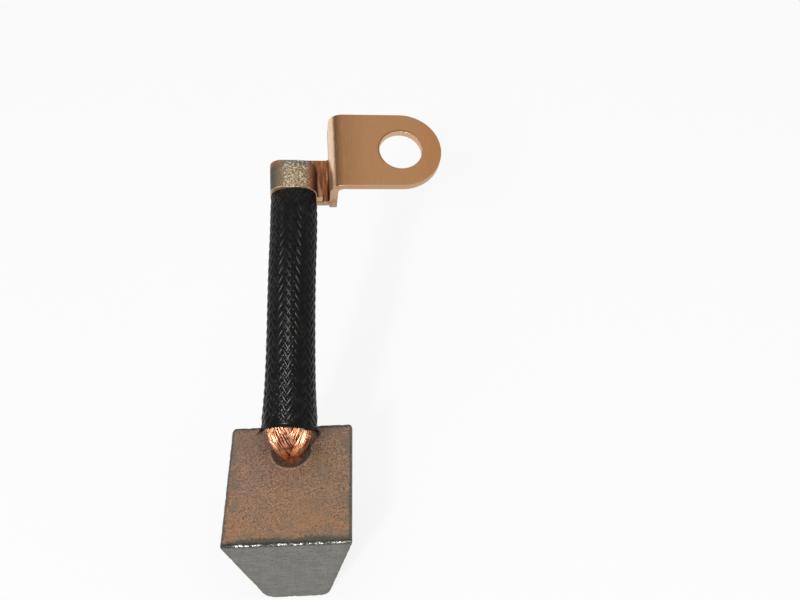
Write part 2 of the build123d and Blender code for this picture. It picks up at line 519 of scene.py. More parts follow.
@dataclass(frozen=True)
class RammedPowder:
    """Dark copper and graphite powder, rammed round the braid."""

    dark: Colour = (0.024, 0.017, 0.012)
    middle: Colour = (0.052, 0.040, 0.031)
    light: Colour = (0.125, 0.104, 0.084)

    def material(self) -> bpy.types.Material:
        """Builds the finish.

        Returns:
            The material.
        """
        shader = Shader("rammed_powder")
        grain = shader.noise(shader.place(), 5.0, 4.0, 0.65)
        colour = shader.ramp(grain, [(0.36, self.dark), (0.50, self.middle), (0.64, self.light)])
        shader.bump(grain, 0.1, 0.8)
        rough = 0.66 - grain * 0.2
        return shader.finish(Base_Color=colour, Metallic=0.15, Roughness=rough, Specular_IOR_Level=0.2)


@dataclass(frozen=True)
class BareCopper:
    """Fine copper wire, with a painted highlight that lightens it above a height and painted shade that
    leaves it browner towards the tamping.
    """

    lit_copper: Colour = (0.70, 0.37, 0.225)
    shaded_copper: Colour = (0.84, 0.34, 0.155)
    deep: Colour = (0.27, 0.085, 0.036)
    lit_from: float = 15.1
    lit_to: float = 16.8

    def material(self) -> bpy.types.Material:
        """Builds the finish.

        Returns:
            The material.
        """
        shader = Shader("bare_copper")
        place = shader.place()
        _, _, height = shader.parts(place)
        patch = shader.noise(place, 1.3, 3.0, 0.6)
        fine = shader.noise(place, 6.0, 2.0, 0.6)
        # Painted highlight above this band of heights; below it the copper keeps its painted shade.
        lit_top = (height + (patch - 0.5) * 3.0).step(self.lit_from, self.lit_to)
        colour = shader.over(
            self.shaded_copper,
            (self.lit_copper, lit_top),
            (self.deep, patch.step(0.47, 0.55) * (0.55 + lit_top * 0.3)),
            (self.deep, fine.step(0.50, 0.66) * 0.5),
        )
        return shader.finish(Base_Color=colour, Metallic=1.0, Roughness=0.27 + fine * 0.24)


@dataclass(frozen=True)
class VarnishedYarn:
    """Black varnished glass yarn with an olive cast, glossier low down."""

    black: Colour = (0.0022, 0.0025, 0.0024)
    olive: Colour = (0.010, 0.011, 0.008)

    def material(self) -> bpy.types.Material:
        """Builds the finish.

        Returns:
            The material.
        """
        shader = Shader("varnished_yarn")
        place = shader.place()
        _, _, height = shader.parts(place)
        patch = shader.noise(place, 1.1, 3.0, 0.6)
        fine = shader.noise(place, 9.0, 2.0, 0.6)
        colour = shader.mix(self.black, self.olive, patch.step(0.46, 0.70))
        shader.bump(fine, 0.02, 0.4)
        rough = 0.19 + patch * 0.12 + fine * 0.05 + height.step(25.0, 35.0) * 0.10
        return shader.finish(Base_Color=colour, Roughness=rough, Specular_IOR_Level=0.095)


@dataclass(frozen=True)
class WornSheet:
    """Brushed copper sheet, tan on the tongue, tarnished on the band and burnished on every edge, with
    painted shade under the band and on its west wall, and painted highlights on the tongue's bend and the
    edges.

    The positions are distances along the fold from the tip of the tongue, over the fold's length.
    Those of the hole are millimetres along the fold and back from the middle of the band.
    """

    length: float
    tongue_end: float
    bend_dark: float
    bend_end: float
    leg_end: float
    strip_end: float
    band_west: float
    band_top: float
    band_east: float
    band_end: float
    hole_along: float
    hole_aside: float
    hole_radius: float
    tip: Colour = (0.400, 0.185, 0.075)
    tan: Colour = (0.400, 0.205, 0.094)
    bend_shade_brown: Colour = (0.310, 0.158, 0.073)
    bend_shade_line: Colour = (0.152, 0.0779, 0.03572)
    bend_highlight: Colour = (0.860, 0.620, 0.430)
    russet: Colour = (0.250, 0.090, 0.040)
    shade_and_tarnish: Colour = (0.038, 0.043, 0.042)
    blue_shade_and_tarnish: Colour = (0.040, 0.048, 0.048)
    bronze: Colour = (0.230, 0.165, 0.098)
    silver: Colour = (0.380, 0.300, 0.205)
    brass: Colour = (0.330, 0.235, 0.140)
    band_copper: Colour = (0.250, 0.120, 0.055)
    band_shade: Colour = (0.070, 0.038, 0.024)
    foot_shade: Colour = (0.060, 0.034, 0.024)
    foot_tip: Colour = (0.420, 0.250, 0.140)
    brushed_dark: Colour = (0.250, 0.125, 0.062)
    brushed_light: Colour = (0.520, 0.300, 0.155)
    olive: Colour = (0.300, 0.210, 0.100)
    steel: Colour = (0.115, 0.122, 0.124)
    heated: Colour = (0.330, 0.135, 0.050)
    pit: Colour = (0.100, 0.078, 0.050)
    sparkle: Colour = (0.780, 0.680, 0.500)
    streak_dark: Colour = (0.070, 0.026, 0.014)
    streak_light: Colour = (0.560, 0.270, 0.120)
    rim: Colour = (0.780, 0.530, 0.350)
    rim_tarnish: Colour = (0.300, 0.190, 0.100)
    rim_dark: Colour = (0.060, 0.032, 0.020)
    wall: Colour = (0.470, 0.290, 0.165)
    hole_line: Colour = (0.110, 0.055, 0.030)

    def stops(self) -> list[tuple[float, Colour]]:
        """Lists the colours along the fold, from the tongue's tip over leg, strip and band to the foot.

        Returns:
            Pairs of position and colour.
        """
        return [
            (0.02, self.tip),
            (0.10, self.tan),
            (self.bend_dark - 0.12, self.tan),
            # Painted shade darkens the tongue into a dark line where it turns into the bend.
            (self.bend_dark - 0.03, self.bend_shade_brown),
            (self.bend_dark - 0.006, self.bend_shade_line),
            (self.bend_dark, self.bend_shade_line),
            # Painted highlight on the bend's outer curve.
            (self.bend_dark + 0.012, self.bend_highlight),
            (self.bend_end, self.bend_highlight),
            (self.leg_end, self.russet),
            (self.strip_end, self.russet),
            # Painted shade with tarnish under the band and up its west wall, which also takes a painted
            # bluish reflection.
            (self.strip_end + 0.02, self.shade_and_tarnish),
            (self.band_west - 0.012, self.blue_shade_and_tarnish),
            (self.band_west + 0.008, self.bronze),
            (self.band_top, self.silver),
            (self.band_east, self.brass),
            (self.band_east + 0.022, self.band_copper),
            (self.band_end - 0.02, self.band_shade),
            (self.band_end, self.foot_shade),
            (1.0, self.foot_tip),
        ]

    def material(self) -> bpy.types.Material:
        """Builds the finish.

        Returns:
            The material.
        """
        shader = Shader("worn_sheet")
        place = shader.place()
        flat = shader.node("ShaderNodeUVMap", {"uv_map": "flat"}).outputs[0]
        along, aside, _ = shader.parts(flat)
        wobble = shader.noise(place, 1.2, 3.0, 0.6)
        brushed = shader.scaled(flat, (self.length * 7.0, self.length * 0.35, 1.0))
        streak = shader.noise(brushed, 1.0, 4.0, 0.65)
        mottle = shader.noise(place, 4.3, 3.0, 0.65)
        fine = shader.noise(place, 6.0, 3.0, 0.6)
        position = along + (wobble - 0.5) * (0.25 / self.length)
        lateral = aside * self.length - FLAT_ORIGIN

        tongue = along.step(self.tongue_end, self.tongue_end - 0.02)
        band = along.step(self.strip_end - 0.02, self.strip_end + 0.03)
        bare = 1.0 - band
        back_edge = (lateral + (wobble - 0.5) * 1.4).step(0.7, 1.7) * band
        corner = position.step(self.band_top, self.band_west - 0.01)
        centre = position.step(self.band_west, self.band_top)
        centre = centre * position.step(self.band_east + 0.03, self.band_east)
        pits = mottle.step(0.50, 0.42) * band * (0.35 + centre * 0.65)
        worn = along.step(self.bend_end, self.leg_end) * bare
        flatness = shader.attribute("flatness")
        rim = flatness.step(0.97, 0.80)
        west = along * self.length - self.hole_along
        north = lateral - self.hole_aside
        from_hole = (west * west + north * north) ** 0.5 - self.hole_radius
        wall = flatness.step(0.40, 0.15) * from_hole.step(0.2, 0.5) * bare
        hole_line = (from_hole - 0.14).size().step(0.13, 0.04) * (west + north).step(-0.5, 2.0) * tongue

        colour = shader.over(
            shader.ramp(position, self.stops()),
            (self.brushed_dark, streak.step(0.50, 0.72) * (0.5 - tongue * 0.28) * bare),
            (self.brushed_light, streak.step(0.47, 0.30) * (0.4 - tongue * 0.2) * bare),
            (self.olive, wobble.step(0.52, 0.68) * 0.4 * tongue),
            (self.steel, back_edge * 0.75 * (1.0 - corner)),
            (self.heated, back_edge * 0.85 * corner),
            (self.pit, pits * 0.75),
            (self.sparkle, mottle.step(0.53, 0.63) * centre * 0.7),
            (self.streak_dark, streak.step(0.52, 0.60) * worn * 0.8),
            (self.streak_light, streak.step(0.46, 0.38) * worn * 0.7),
            # Burnished edges, lightened further by a painted highlight.
            (self.rim, rim * (0.8 - tongue * 0.1)),
            (self.rim_tarnish, rim * fine.step(0.48, 0.62) * 0.3),
            (self.rim_dark, rim * worn * fine.step(0.47, 0.55) * 0.85),
            (self.wall, wall * 0.6),
            (self.hole_line, hole_line * 0.6),
        )
        shader.bump(streak * 0.25 * bare + mottle * band * 1.2 + fine * 0.2, 0.05, 0.6)
        rough = 0.36 + (streak - 0.5) * 0.25 + band * 0.08 + rim * 0.06
        return shader.finish(Base_Color=colour, Metallic=1.0, Roughness=rough)


# Shape helpers


def smooth(share: float) -> float:
    """Share between 0 and 1 that starts and ends gently."""
    share = min(1.0, max(0.0, share))
    return share * share * (3 - 2 * share)


def add_tube(
    bm: bmesh.types.BMesh, across: int, along: int, place: Callable[[float, float], Vector]
) -> None:
    """Adds a grid and rolls it up as a tube with capped ends.

    Args:
        bm: the mesh that takes it.
        across: faces round the tube.
        along: faces along it.
        place: the point for two shares between 0 and 1, round and along the tube.
    """
    made = bmesh.ops.create_grid(bm, x_segments=across, y_segments=along, size=0.5)["verts"]
    for vertex in made:
        vertex.co = place(vertex.co.x + 0.5, vertex.co.y + 0.5)
    bmesh.ops.remove_doubles(bm, verts=made, dist=NEAR / 10)
    made = [vertex for vertex in made if vertex.is_valid]
    rims = [edge for edge in edges_of(made) if edge.is_boundary]
    bmesh.ops.holes_fill(bm, edges=rims, sides=0)


def cut_across(bm: bmesh.types.BMesh, axis: int, positions: Iterable[float]) -> None:
    """Cuts every face along planes across one axis.

    Args:
        bm: the mesh.
        axis: 0, 1 or 2.
        positions: the planes' places on that axis.
    """
    normal = Vector((0.0, 0.0, 0.0))
    normal[axis] = 1.0
    for position in positions:
        geometry = bm.verts[:] + bm.edges[:] + bm.faces[:]
        bmesh.ops.bisect_plane(bm, geom=geometry, dist=NEAR, plane_co=normal * position, plane_no=normal)


def evenly(start: float, end: float, spacing: float) -> list[float]:
    """Positions strictly between two ends, about a spacing apart."""
    count = max(1, round((end - start) / spacing))
    return [start + (end - start) * step / count for step in range(1, count)]


def edges_of(verts: Iterable[bmesh.types.BMVert]) -> list[bmesh.types.BMEdge]:
    """The edges at some vertices, each once and always in the same order."""
    return list(dict.fromkeys(edge for vertex in verts for edge in vertex.link_edges))


def round_off(
    bm: bmesh.types.BMesh, edges: list[bmesh.types.BMEdge], radius: float, segments: int
) -> list[bmesh.types.BMVert]:
    """Bevels edges.

    Args:
        bm: the mesh.
        edges: the edges.
        radius: the bevel's offset.
        segments: its faces.

    Returns:
        The new vertices.
    """
    return bmesh.ops.bevel(
        bm,
        geom=edges,
        offset=radius,
        segments=segments,
        profile=0.5,
        affect="EDGES",
        material=-1,
        clamp_overlap=True,
    )["verts"]


def turn_profile(
    bm: bmesh.types.BMesh, profile: list[tuple[float, float]], axis_y: float, steps: int, closed: bool
) -> None:
    """Spins a profile right round an upright axis.

    Args:
        bm: the mesh that takes the turned shape.
        profile: pairs of radius and height.
        axis_y: the axis's place on Y.
        steps: faces round the shape.
        closed: whether the profile's last point joins its first.
    """
    corners = [bm.verts.new((radius, axis_y, height)) for radius, height in profile]
    after = corners[1:] + corners[:1] if closed else corners[1:]
    edges = [bm.edges.new(pair) for pair in zip(corners, after)]
    bmesh.ops.spin(
        bm,
        geom=corners + edges,
        cent=(0.0, axis_y, 0.0),
        axis=(0.0, 0.0, 1.0),
        angle=2 * pi,
        steps=steps,
        use_merge=True,
    )
    bmesh.ops.remove_doubles(bm, verts=bm.verts, dist=NEAR)


def new_object(name: str, bm: bmesh.types.BMesh) -> bpy.types.Object:
    """Turns a mesh into an object of the scene.

    Args:
        name: the object's name, and its mesh's.
        bm: the mesh, which is freed.

    Returns:
        The object.
    """
    mesh = bpy.data.meshes.new(name)
    bm.to_mesh(mesh)
    bm.free()
    made = bpy.data.objects.new(name, mesh)
    bpy.context.scene.collection.objects.link(made)
    return made


def show(
    name: str, bm: bmesh.types.BMesh, material: bpy.types.Material, node: Node, crease: float = 80.0
) -> bpy.types.Object:
    """Turns a mesh in millimetres into a piece that stands for a node of the frame.

    Args:
        name: the piece's name.
        bm: its mesh, which is freed.
        material: its finish.
        node: the node that it stands for.
        crease: the angle in degrees past which an edge stays sharp.

    Returns:
        The piece.
    """
    bmesh.ops.scale(bm, vec=(MM, MM, MM), verts=bm.verts)
    piece = new_object(name, bm)
    piece.data.materials.append(material)
    piece.data.shade_smooth()
    piece.data.set_sharp_from_angle(angle=radians(crease))
    solid, slot = node.value
    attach(piece, "root")
    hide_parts(solid)
    LOG.info("%s: %d faces for %s", name, len(piece.data.polygons), solid)
    return piece


# Route of the lead


@dataclass(frozen=True)
class Run:
    """Straight run of the lead between two bends, with its slopes in degrees."""

    length: float
    rise: float
    turn: float


@dataclass(frozen=True)
class Station:
    """Place on the lead's middle line, with the directions sideways, down and back, and along it."""

    point: Vector
    sideways: Vector
    downward: Vector
    along: Vector

    def outward(self, angle: float) -> Vector:
        """Direction away from the line, at an angle round it."""
        return self.sideways * cos(angle) + self.downward * sin(angle)

    def around(self, angle: float) -> Vector:
        """Direction round the line, at an angle round it."""
        return self.downward * cos(angle) - self.sideways * sin(angle)


@dataclass
class Lead:
    """Middle line of the lead, from the floor of the socket to the tail behind the terminal."""

    socket_y: float = 4.65
    socket_floor: float = 5.5
    block_top: float = 14.0
    exit_length: float = 2.2
    exit_reach: float = 3.44
    runs: tuple[Run, ...] = (Run(10.8, 52.0, 6.7), Run(10.0, 42.0, 3.8), Run(7.35, 31.0, 3.8))
    end_length: float = 5.45
    end_reach: float = 6.8
    rise: float = 20.0
    turn: float = -1.5
    roll: float = 6.3
    band_length: float = 3.9
    tail: float = 0.4
    sleeve_start: float = 3.6
    shunt_diameter: float = 5.0
    shunt_neck: float = 3.8
    spread_width: float = 6.0
    spread_depth: float = 4.9
    sleeve_diameter: float = 6.0
    flare: float = 1.45
    flare_length: float = 5.5
    squeeze_length: float = 2.4
    squeezed_width: float = 5.86
    squeezed_depth: float = 4.66
    points_per_corner: int = 24
    places: list[Vector] = field(init=False)
    distances: list[float] = field(init=False)
    direction: Vector = field(init=False)
    across: Vector = field(init=False)
    upward: Vector = field(init=False)
    crimp: Vector = field(init=False)
    length: float = field(init=False)
    mouth: float = field(init=False)
    band_front: float = field(init=False)

    def heading(self, rise: float, turn: float) -> Vector:
        """Unit vector that rises above level and turns to the right of straight back."""
        level = cos(radians(rise))
        return Vector((level * sin(radians(turn)), level * cos(radians(turn)), sin(radians(rise))))

    def corners(self) -> list[Vector]:
        """Works out the route's corners, the crimp and the axes of the lead's end.

        Returns:
            The corners, from the socket's floor to the tail.
        """
        corner = Vector((0.0, self.socket_y, self.block_top + self.exit_length))
        first = self.heading(self.runs[0].rise, self.runs[0].turn)
        route = [
            Vector((0.0, self.socket_y, self.socket_floor)),
            corner - Vector((0.0, 0.0, self.exit_reach)),
            corner,
            corner + first * self.exit_reach,
        ]
        for run in self.runs:
            corner = corner + self.heading(run.rise, run.turn) * run.length
            route.append(corner)
        self.direction = self.heading(self.rise, self.turn)
        self.crimp = corner + self.direction * self.end_length
        route.append(corner + self.direction * self.end_reach)
        route.append(self.crimp + self.direction * (self.band_length / 2 + self.tail))
        level = self.direction.cross(Vector((0.0, 0.0, 1.0))).normalized()
        self.across = Matrix.Rotation(radians(self.roll), 3, self.direction) @ level
        self.upward = self.across.cross(self.direction)
        return route

    def lay_out(self) -> None:
        """Reads the line's points from a smooth curve through the route's corners."""
        route = self.corners()
        curve = bpy.data.curves.new("lead_line", "CURVE")
        curve.dimensions = "3D"
        curve.resolution_u = self.points_per_corner
        spline = curve.splines.new("NURBS")
        spline.points.add(len(route) - 1)
        for point, place in zip(spline.points, route):
            point.co = (*place, 1.0)
        spline.order_u = 3
        spline.use_endpoint_u = True
        line = bpy.data.objects.new("lead_line", curve)
        mesh = bpy.data.meshes.new_from_object(line)
        self.places = [vertex.co.copy() for vertex in mesh.vertices]
        bpy.data.objects.remove(line)
        bpy.data.curves.remove(curve)
        bpy.data.meshes.remove(mesh)
        self.distances = [0.0]
        for before, after in zip(self.places, self.places[1:]):
            self.distances.append(self.distances[-1] + (after - before).length)
        self.length = self.distances[-1]
        self.mouth = self.block_top - self.socket_floor + self.sleeve_start
        self.band_front = self.length - self.tail - self.band_length
        LOG.info("lead: %.2f mm long, crimp %.2f mm up", self.length, self.crimp.z)

    def at(self, distance: float) -> Station:
        """Finds the place at a distance along the line, which runs on straight past its ends.

        Args:
            distance: in millimetres from the floor of the socket.

        Returns:
            The place with its directions.
        """
        last = len(self.places) - 1
        index = min(max(bisect_right(self.distances, distance), 1), last)
        before, after = self.places[index - 1], self.places[index]
        share = (distance - self.distances[index - 1]) / (self.distances[index] - self.distances[index - 1])
        along = (after - before).normalized()
        if 1 < index < last:
            earlier = (before - self.places[index - 2]).normalized()
            later = (self.places[index + 1] - after).normalized()
            along = (earlier.lerp(along, 0.5 + share / 2) + along.lerp(later, share / 2)).normalized()
        sideways = (Vector((1.0, 0.0, 0.0)) - along * along.x).normalized()
        return Station(before.lerp(after, share), sideways, along.cross(sideways), along)

    def round_at(self, distance: float, angle: float, width: float, depth: float) -> Vector:
        """Finds a point on an ellipse round the line.

        Args:
            distance: along the line.
            angle: round it.
            width: the ellipse's half width.
            depth: its half depth.

        Returns:
            The point.
        """
        station = self.at(distance)
        sideways = station.sideways * (width * cos(angle))
        return station.point + sideways + station.downward * (depth * sin(angle))

    def sleeve_size(self, distance: float) -> tuple[float, float]:
        """Works out the size of the sleeve, which opens at its mouth and is tucked in at the band.

        Args:
            distance: along the line.

        Returns:
            Its outside width and depth.
        """
        size = self.sleeve_diameter + self.flare * exp((self.mouth - distance) / self.flare_length)
        share = smooth(1 - (self.band_front - distance) / self.squeeze_length)
        return size + (self.squeezed_width - size) * share, size + (self.squeezed_depth - size) * share

    def shunt_size(self, distance: float) -> tuple[float, float]:
        """Works out the size of the braid, which swells from its neck to the sleeve's mouth.

        Args:
            distance: along the line.

        Returns:
            Its width and depth.
        """
        if distance < self.mouth:
            risen = max(0.0, distance - self.mouth + self.sleeve_start)
            share = (1 - cos(pi * risen / self.sleeve_start)) / 2
            start = self.shunt_neck
        else:
            share = exp(-(((distance - self.mouth) / self.flare_length) ** 2))
            start = self.shunt_diameter
        return start + (self.spread_width - start) * share, start + (self.spread_depth - start) * share


class Assembly(ABC):
    """Part of the brush that builds its own pieces round the lead."""

    @abstractmethod
    def build(self, lead: Lead) -> list[bpy.types.Object]:
        """Builds the pieces of this part."""


# Carbon block and its socket


@dataclass
class CarbonBlock(Assembly):
    """Wedge-shaped block with a socket, worn and a little chipped along its edges."""

    length: float = 17.0
    height: float = 14.0
    wide: float = 16.0
    narrow: float = 8.0
    narrow_radius: float = 1.3
    wide_radius: float = 0.6
    corner_radius: float = 0.9
    end_radius: float = 0.22
    socket_diameter: float = 4.8
    socket_depth: float = 8.5
    drill_point: float = 1.44
    rim_break: float = 0.12
    socket_faces: int = 72
    grid: float = 0.3
    chip_depth: float = 0.16
    chip_reach: float = 0.4
    front_chips: float = 1.4
    front_spread: float = 0.5
    rim_width: float = 0.3
    skin: float = 0.008
    wear_reach: float = 3.0
    tamping_level: float = 13.85
    tamping_dish: float = 0.34
    tamping_steps: int = 7
    tamping_faces: int = 110
    tamping_clearance: float = 0.1
    tamping_sink: float = 0.03
    braid_overlap: float = 1.0

    def slope(self) -> float:
        """How far each slanted side leans outwards over its height."""
        return (self.wide - self.narrow) / 2 / self.height

    def half_width(self, z: float) -> float:
        """Half the wedge's width at a height."""
        return (self.narrow + (self.wide - self.narrow) * z / self.height) / 2

    def socket_floor(self) -> float:
        """Height at which the socket's straight wall ends."""
        return self.height - self.socket_depth

    def build(self, lead: Lead) -> list[bpy.types.Object]:
        """Builds the block and the tamping.

        Args:
            lead: the route, which gives the socket's place.

        Returns:
            The two pieces.
        """
        return [self.block(lead), self.tamping(lead)]

    def block(self, lead: Lead) -> bpy.types.Object:
        """Builds the block: a rounded wedge with a drilled socket and chipped edges.

        Args:
            lead: the route.

        Returns:
            The piece.
        """
        bm = bmesh.new()
        bmesh.ops.create_cube(bm, size=1.0)
        for vertex in bm.verts:
            z = (vertex.co.z + 0.5) * self.height
            vertex.co = Vector((vertex.co.x * 2 * self.half_width(z), vertex.co.y * self.length, z))
        top, ends, half = self.height - 0.1, self.length - 0.1, self.length / 2
        self.round_edges(bm, self.wide_radius, 3, lambda a, b: min(a.z, b.z) > top and abs(a.y - b.y) > half)
        self.round_edges(bm, self.narrow_radius, 8, lambda a, b: a.z + b.z < 0.1 and abs(a.y - b.y) > half)
        self.round_edges(bm, self.end_radius, 3, lambda a, b: abs(a.y + b.y) > ends)
        drilled = self.drill(bm, lead.socket_y)
        self.cut_grid(drilled)
        self.wear(drilled, lead.socket_y)
        finish = PressedCarbon(
            length=self.length,
            height=self.height,
            foot_half_width=self.narrow / 2,
            slope=self.slope(),
            socket_y=lead.socket_y,
            socket_radius=self.socket_diameter / 2,
        )
        return show("block_pressed", drilled, finish.material(), Node.BLOCK, 40.0)

    def round_edges(
        self, bm: bmesh.types.BMesh, radius: float, segments: int, chosen: Callable[[Vector, Vector], bool]
    ) -> None:
        """Rounds the edges whose two ends pass a test, but for those between nearly level faces.

        Args:
            bm: the mesh.
            radius: the bevel's offset.
            segments: its faces.
            chosen: the test of an edge's two ends.
        """
        edges = [edge for edge in bm.edges if chosen(edge.verts[0].co, edge.verts[1].co)]
        round_off(bm, [edge for edge in edges if edge.calc_face_angle(0.0) > 0.6], radius, segments)

    def drill(self, bm: bmesh.types.BMesh, socket_y: float) -> bmesh.types.BMesh:
        """Subtracts the socket, with its drill point and broken rim, and the round back corners.

        Args:
            bm: the block, which is freed.
            socket_y: the socket's place.

        Returns:
            The drilled block.
        """
        radius = self.socket_diameter / 2
        above = self.height + 0.1
        profile = [
            (0.0, self.socket_floor() - self.drill_point),
            (radius, self.socket_floor()),
            (radius, self.height - self.rim_break),
            (radius + self.rim_break + 0.1, above),
            (0.0, above),
        ]
        cutter = bmesh.new()
        turn_profile(cutter, profile, socket_y, self.socket_faces, closed=False)
        self.corner_cutters(cutter)
        bmesh.ops.recalc_face_normals(cutter, faces=cutter.faces)
        blank = new_object("block_blank", bm)
        tool = new_object("socket_cutter", cutter)
        cut = blank.modifiers.new("socket", "BOOLEAN")
        cut.operation = "DIFFERENCE"
        cut.solver = "EXACT"
        cut.object = tool
        mesh = bpy.data.meshes.new_from_object(blank.evaluated_get(bpy.context.evaluated_depsgraph_get()))
        drilled = bmesh.new()
        drilled.from_mesh(mesh)
        bpy.data.meshes.remove(mesh)
        bpy.data.objects.remove(blank)
        bpy.data.objects.remove(tool)
        return drilled

    def corner_cutters(self, cutter: bmesh.types.BMesh) -> None:
        """Adds a slanted bar with a hollow side for each back corner.

        Args:
            cutter: the mesh that takes them.
        """
        radius = self.corner_radius
        far = radius + 1.0
        rise = self.height + 2.0
        for side in (-1, 1):
            outline = [(radius * sin(pi * step / 16), radius * cos(pi * step / 16)) for step in range(9)]
            outline += [(far, 0.0), (far, far), (0.0, far)]
            corner = Vector((self.half_width(-1.0) - radius, self.length / 2 - radius, -1.0))
            foot = [cutter.verts.new((side * (corner.x + x), corner.y + y, corner.z)) for x, y in outline]
            profile = cutter.faces.new(foot)
            raised = bmesh.ops.extrude_face_region(cutter, geom=[profile], use_keep_orig=True)["geom"]
            lifted = [item for item in raised if isinstance(item, bmesh.types.BMVert)]
            bmesh.ops.translate(cutter, vec=(side * self.slope() * rise, 0.0, rise), verts=lifted)

    def cut_grid(self, bm: bmesh.types.BMesh) -> None:
        """Cuts the block into small faces, so that its edges can wear.

        Args:
            bm: the block.
        """
        half_length = self.length / 2
        cut_across(bm, 0, evenly(-self.wide / 2, self.wide / 2, self.grid))
        cut_across(bm, 1, evenly(-half_length, half_length, self.grid))
        cut_across(bm, 2, evenly(0.0, self.height, self.grid))

    def edge_distance(self, place: Vector) -> float:
        """Distance of a point on the surface from the nearest edge of the wedge."""
        side = (self.half_width(place.z) - abs(place.x)) / sqrt(1 + self.slope() ** 2)
        ends = self.length / 2 - abs(place.y)
        return sorted((side, ends, self.height - place.z, place.z))[1]

    def wear(self, bm: bmesh.types.BMesh, socket_y: float) -> None:
        """Chips the edges and roughens the skin a little, and stores each vertex's distance from an edge.

        Args:
            bm: the block.
            socket_y: the place of the socket, whose wall and rim stay as drilled.
        """
        bm.normal_update()
        layer = bm.verts.layers.float.new("edge_distance")
        socket_radius = self.socket_diameter / 2 + self.rim_width
        for vertex in bm.verts:
            place = vertex.co.copy()
            near = max(0.0, self.edge_distance(place))
            vertex[layer] = min(near, self.wear_reach)
            if sqrt(place.x**2 + (place.y - socket_y) ** 2) < socket_radius:
                continue
            edge_share = exp(-((near / self.chip_reach) ** 2))
            from_arris = (place.y + self.length / 2) ** 2 + (place.z - self.height) ** 2
            front_top = exp(-from_arris / self.front_spread)
            coarse, fine = noise.noise(place * 1.3) * 0.7, noise.noise(place * 3.1) * 0.5
            chip = max(0.0, coarse + fine + 0.05)
            depth = self.chip_depth * edge_share * chip * (1.0 + self.front_chips * front_top)
            vertex.co = place - vertex.normal * (depth - self.skin * noise.noise(place * 2.3))

    def tamping(self, lead: Lead) -> bpy.types.Object:
        """Builds the rammed ring: a plain plug with a dished, grainy top.

        Args:
            lead: the route, which gives the braid's neck.

        Returns:
            The piece.
        """
        bm = bmesh.new()
        radius = self.socket_diameter / 2
        inner = lead.shunt_neck / 2 - self.braid_overlap
        floor = self.socket_floor() + self.tamping_clearance
        profile = [(inner, floor)]
        for step in range(self.tamping_steps + 1):
            level = self.tamping_level - self.tamping_dish * (1 - step / self.tamping_steps) ** 2
            profile.append((inner + (radius - inner) * step / self.tamping_steps, level))
        profile.append((radius, floor))
        turn_profile(bm, profile, lead.socket_y, self.tamping_faces, closed=True)
        bmesh.ops.recalc_face_normals(bm, faces=bm.faces)
        for vertex in bm.verts:
            if vertex.co.z > self.tamping_level - 1.0:
                grain = noise.noise(vertex.co * 3.4) * 0.07 + noise.noise(vertex.co * 7.0) * 0.04
                vertex.co.z += grain - self.tamping_sink
        return show("tamping_rammed", bm, RammedPowder().material(), Node.TAMPING)


# Braids


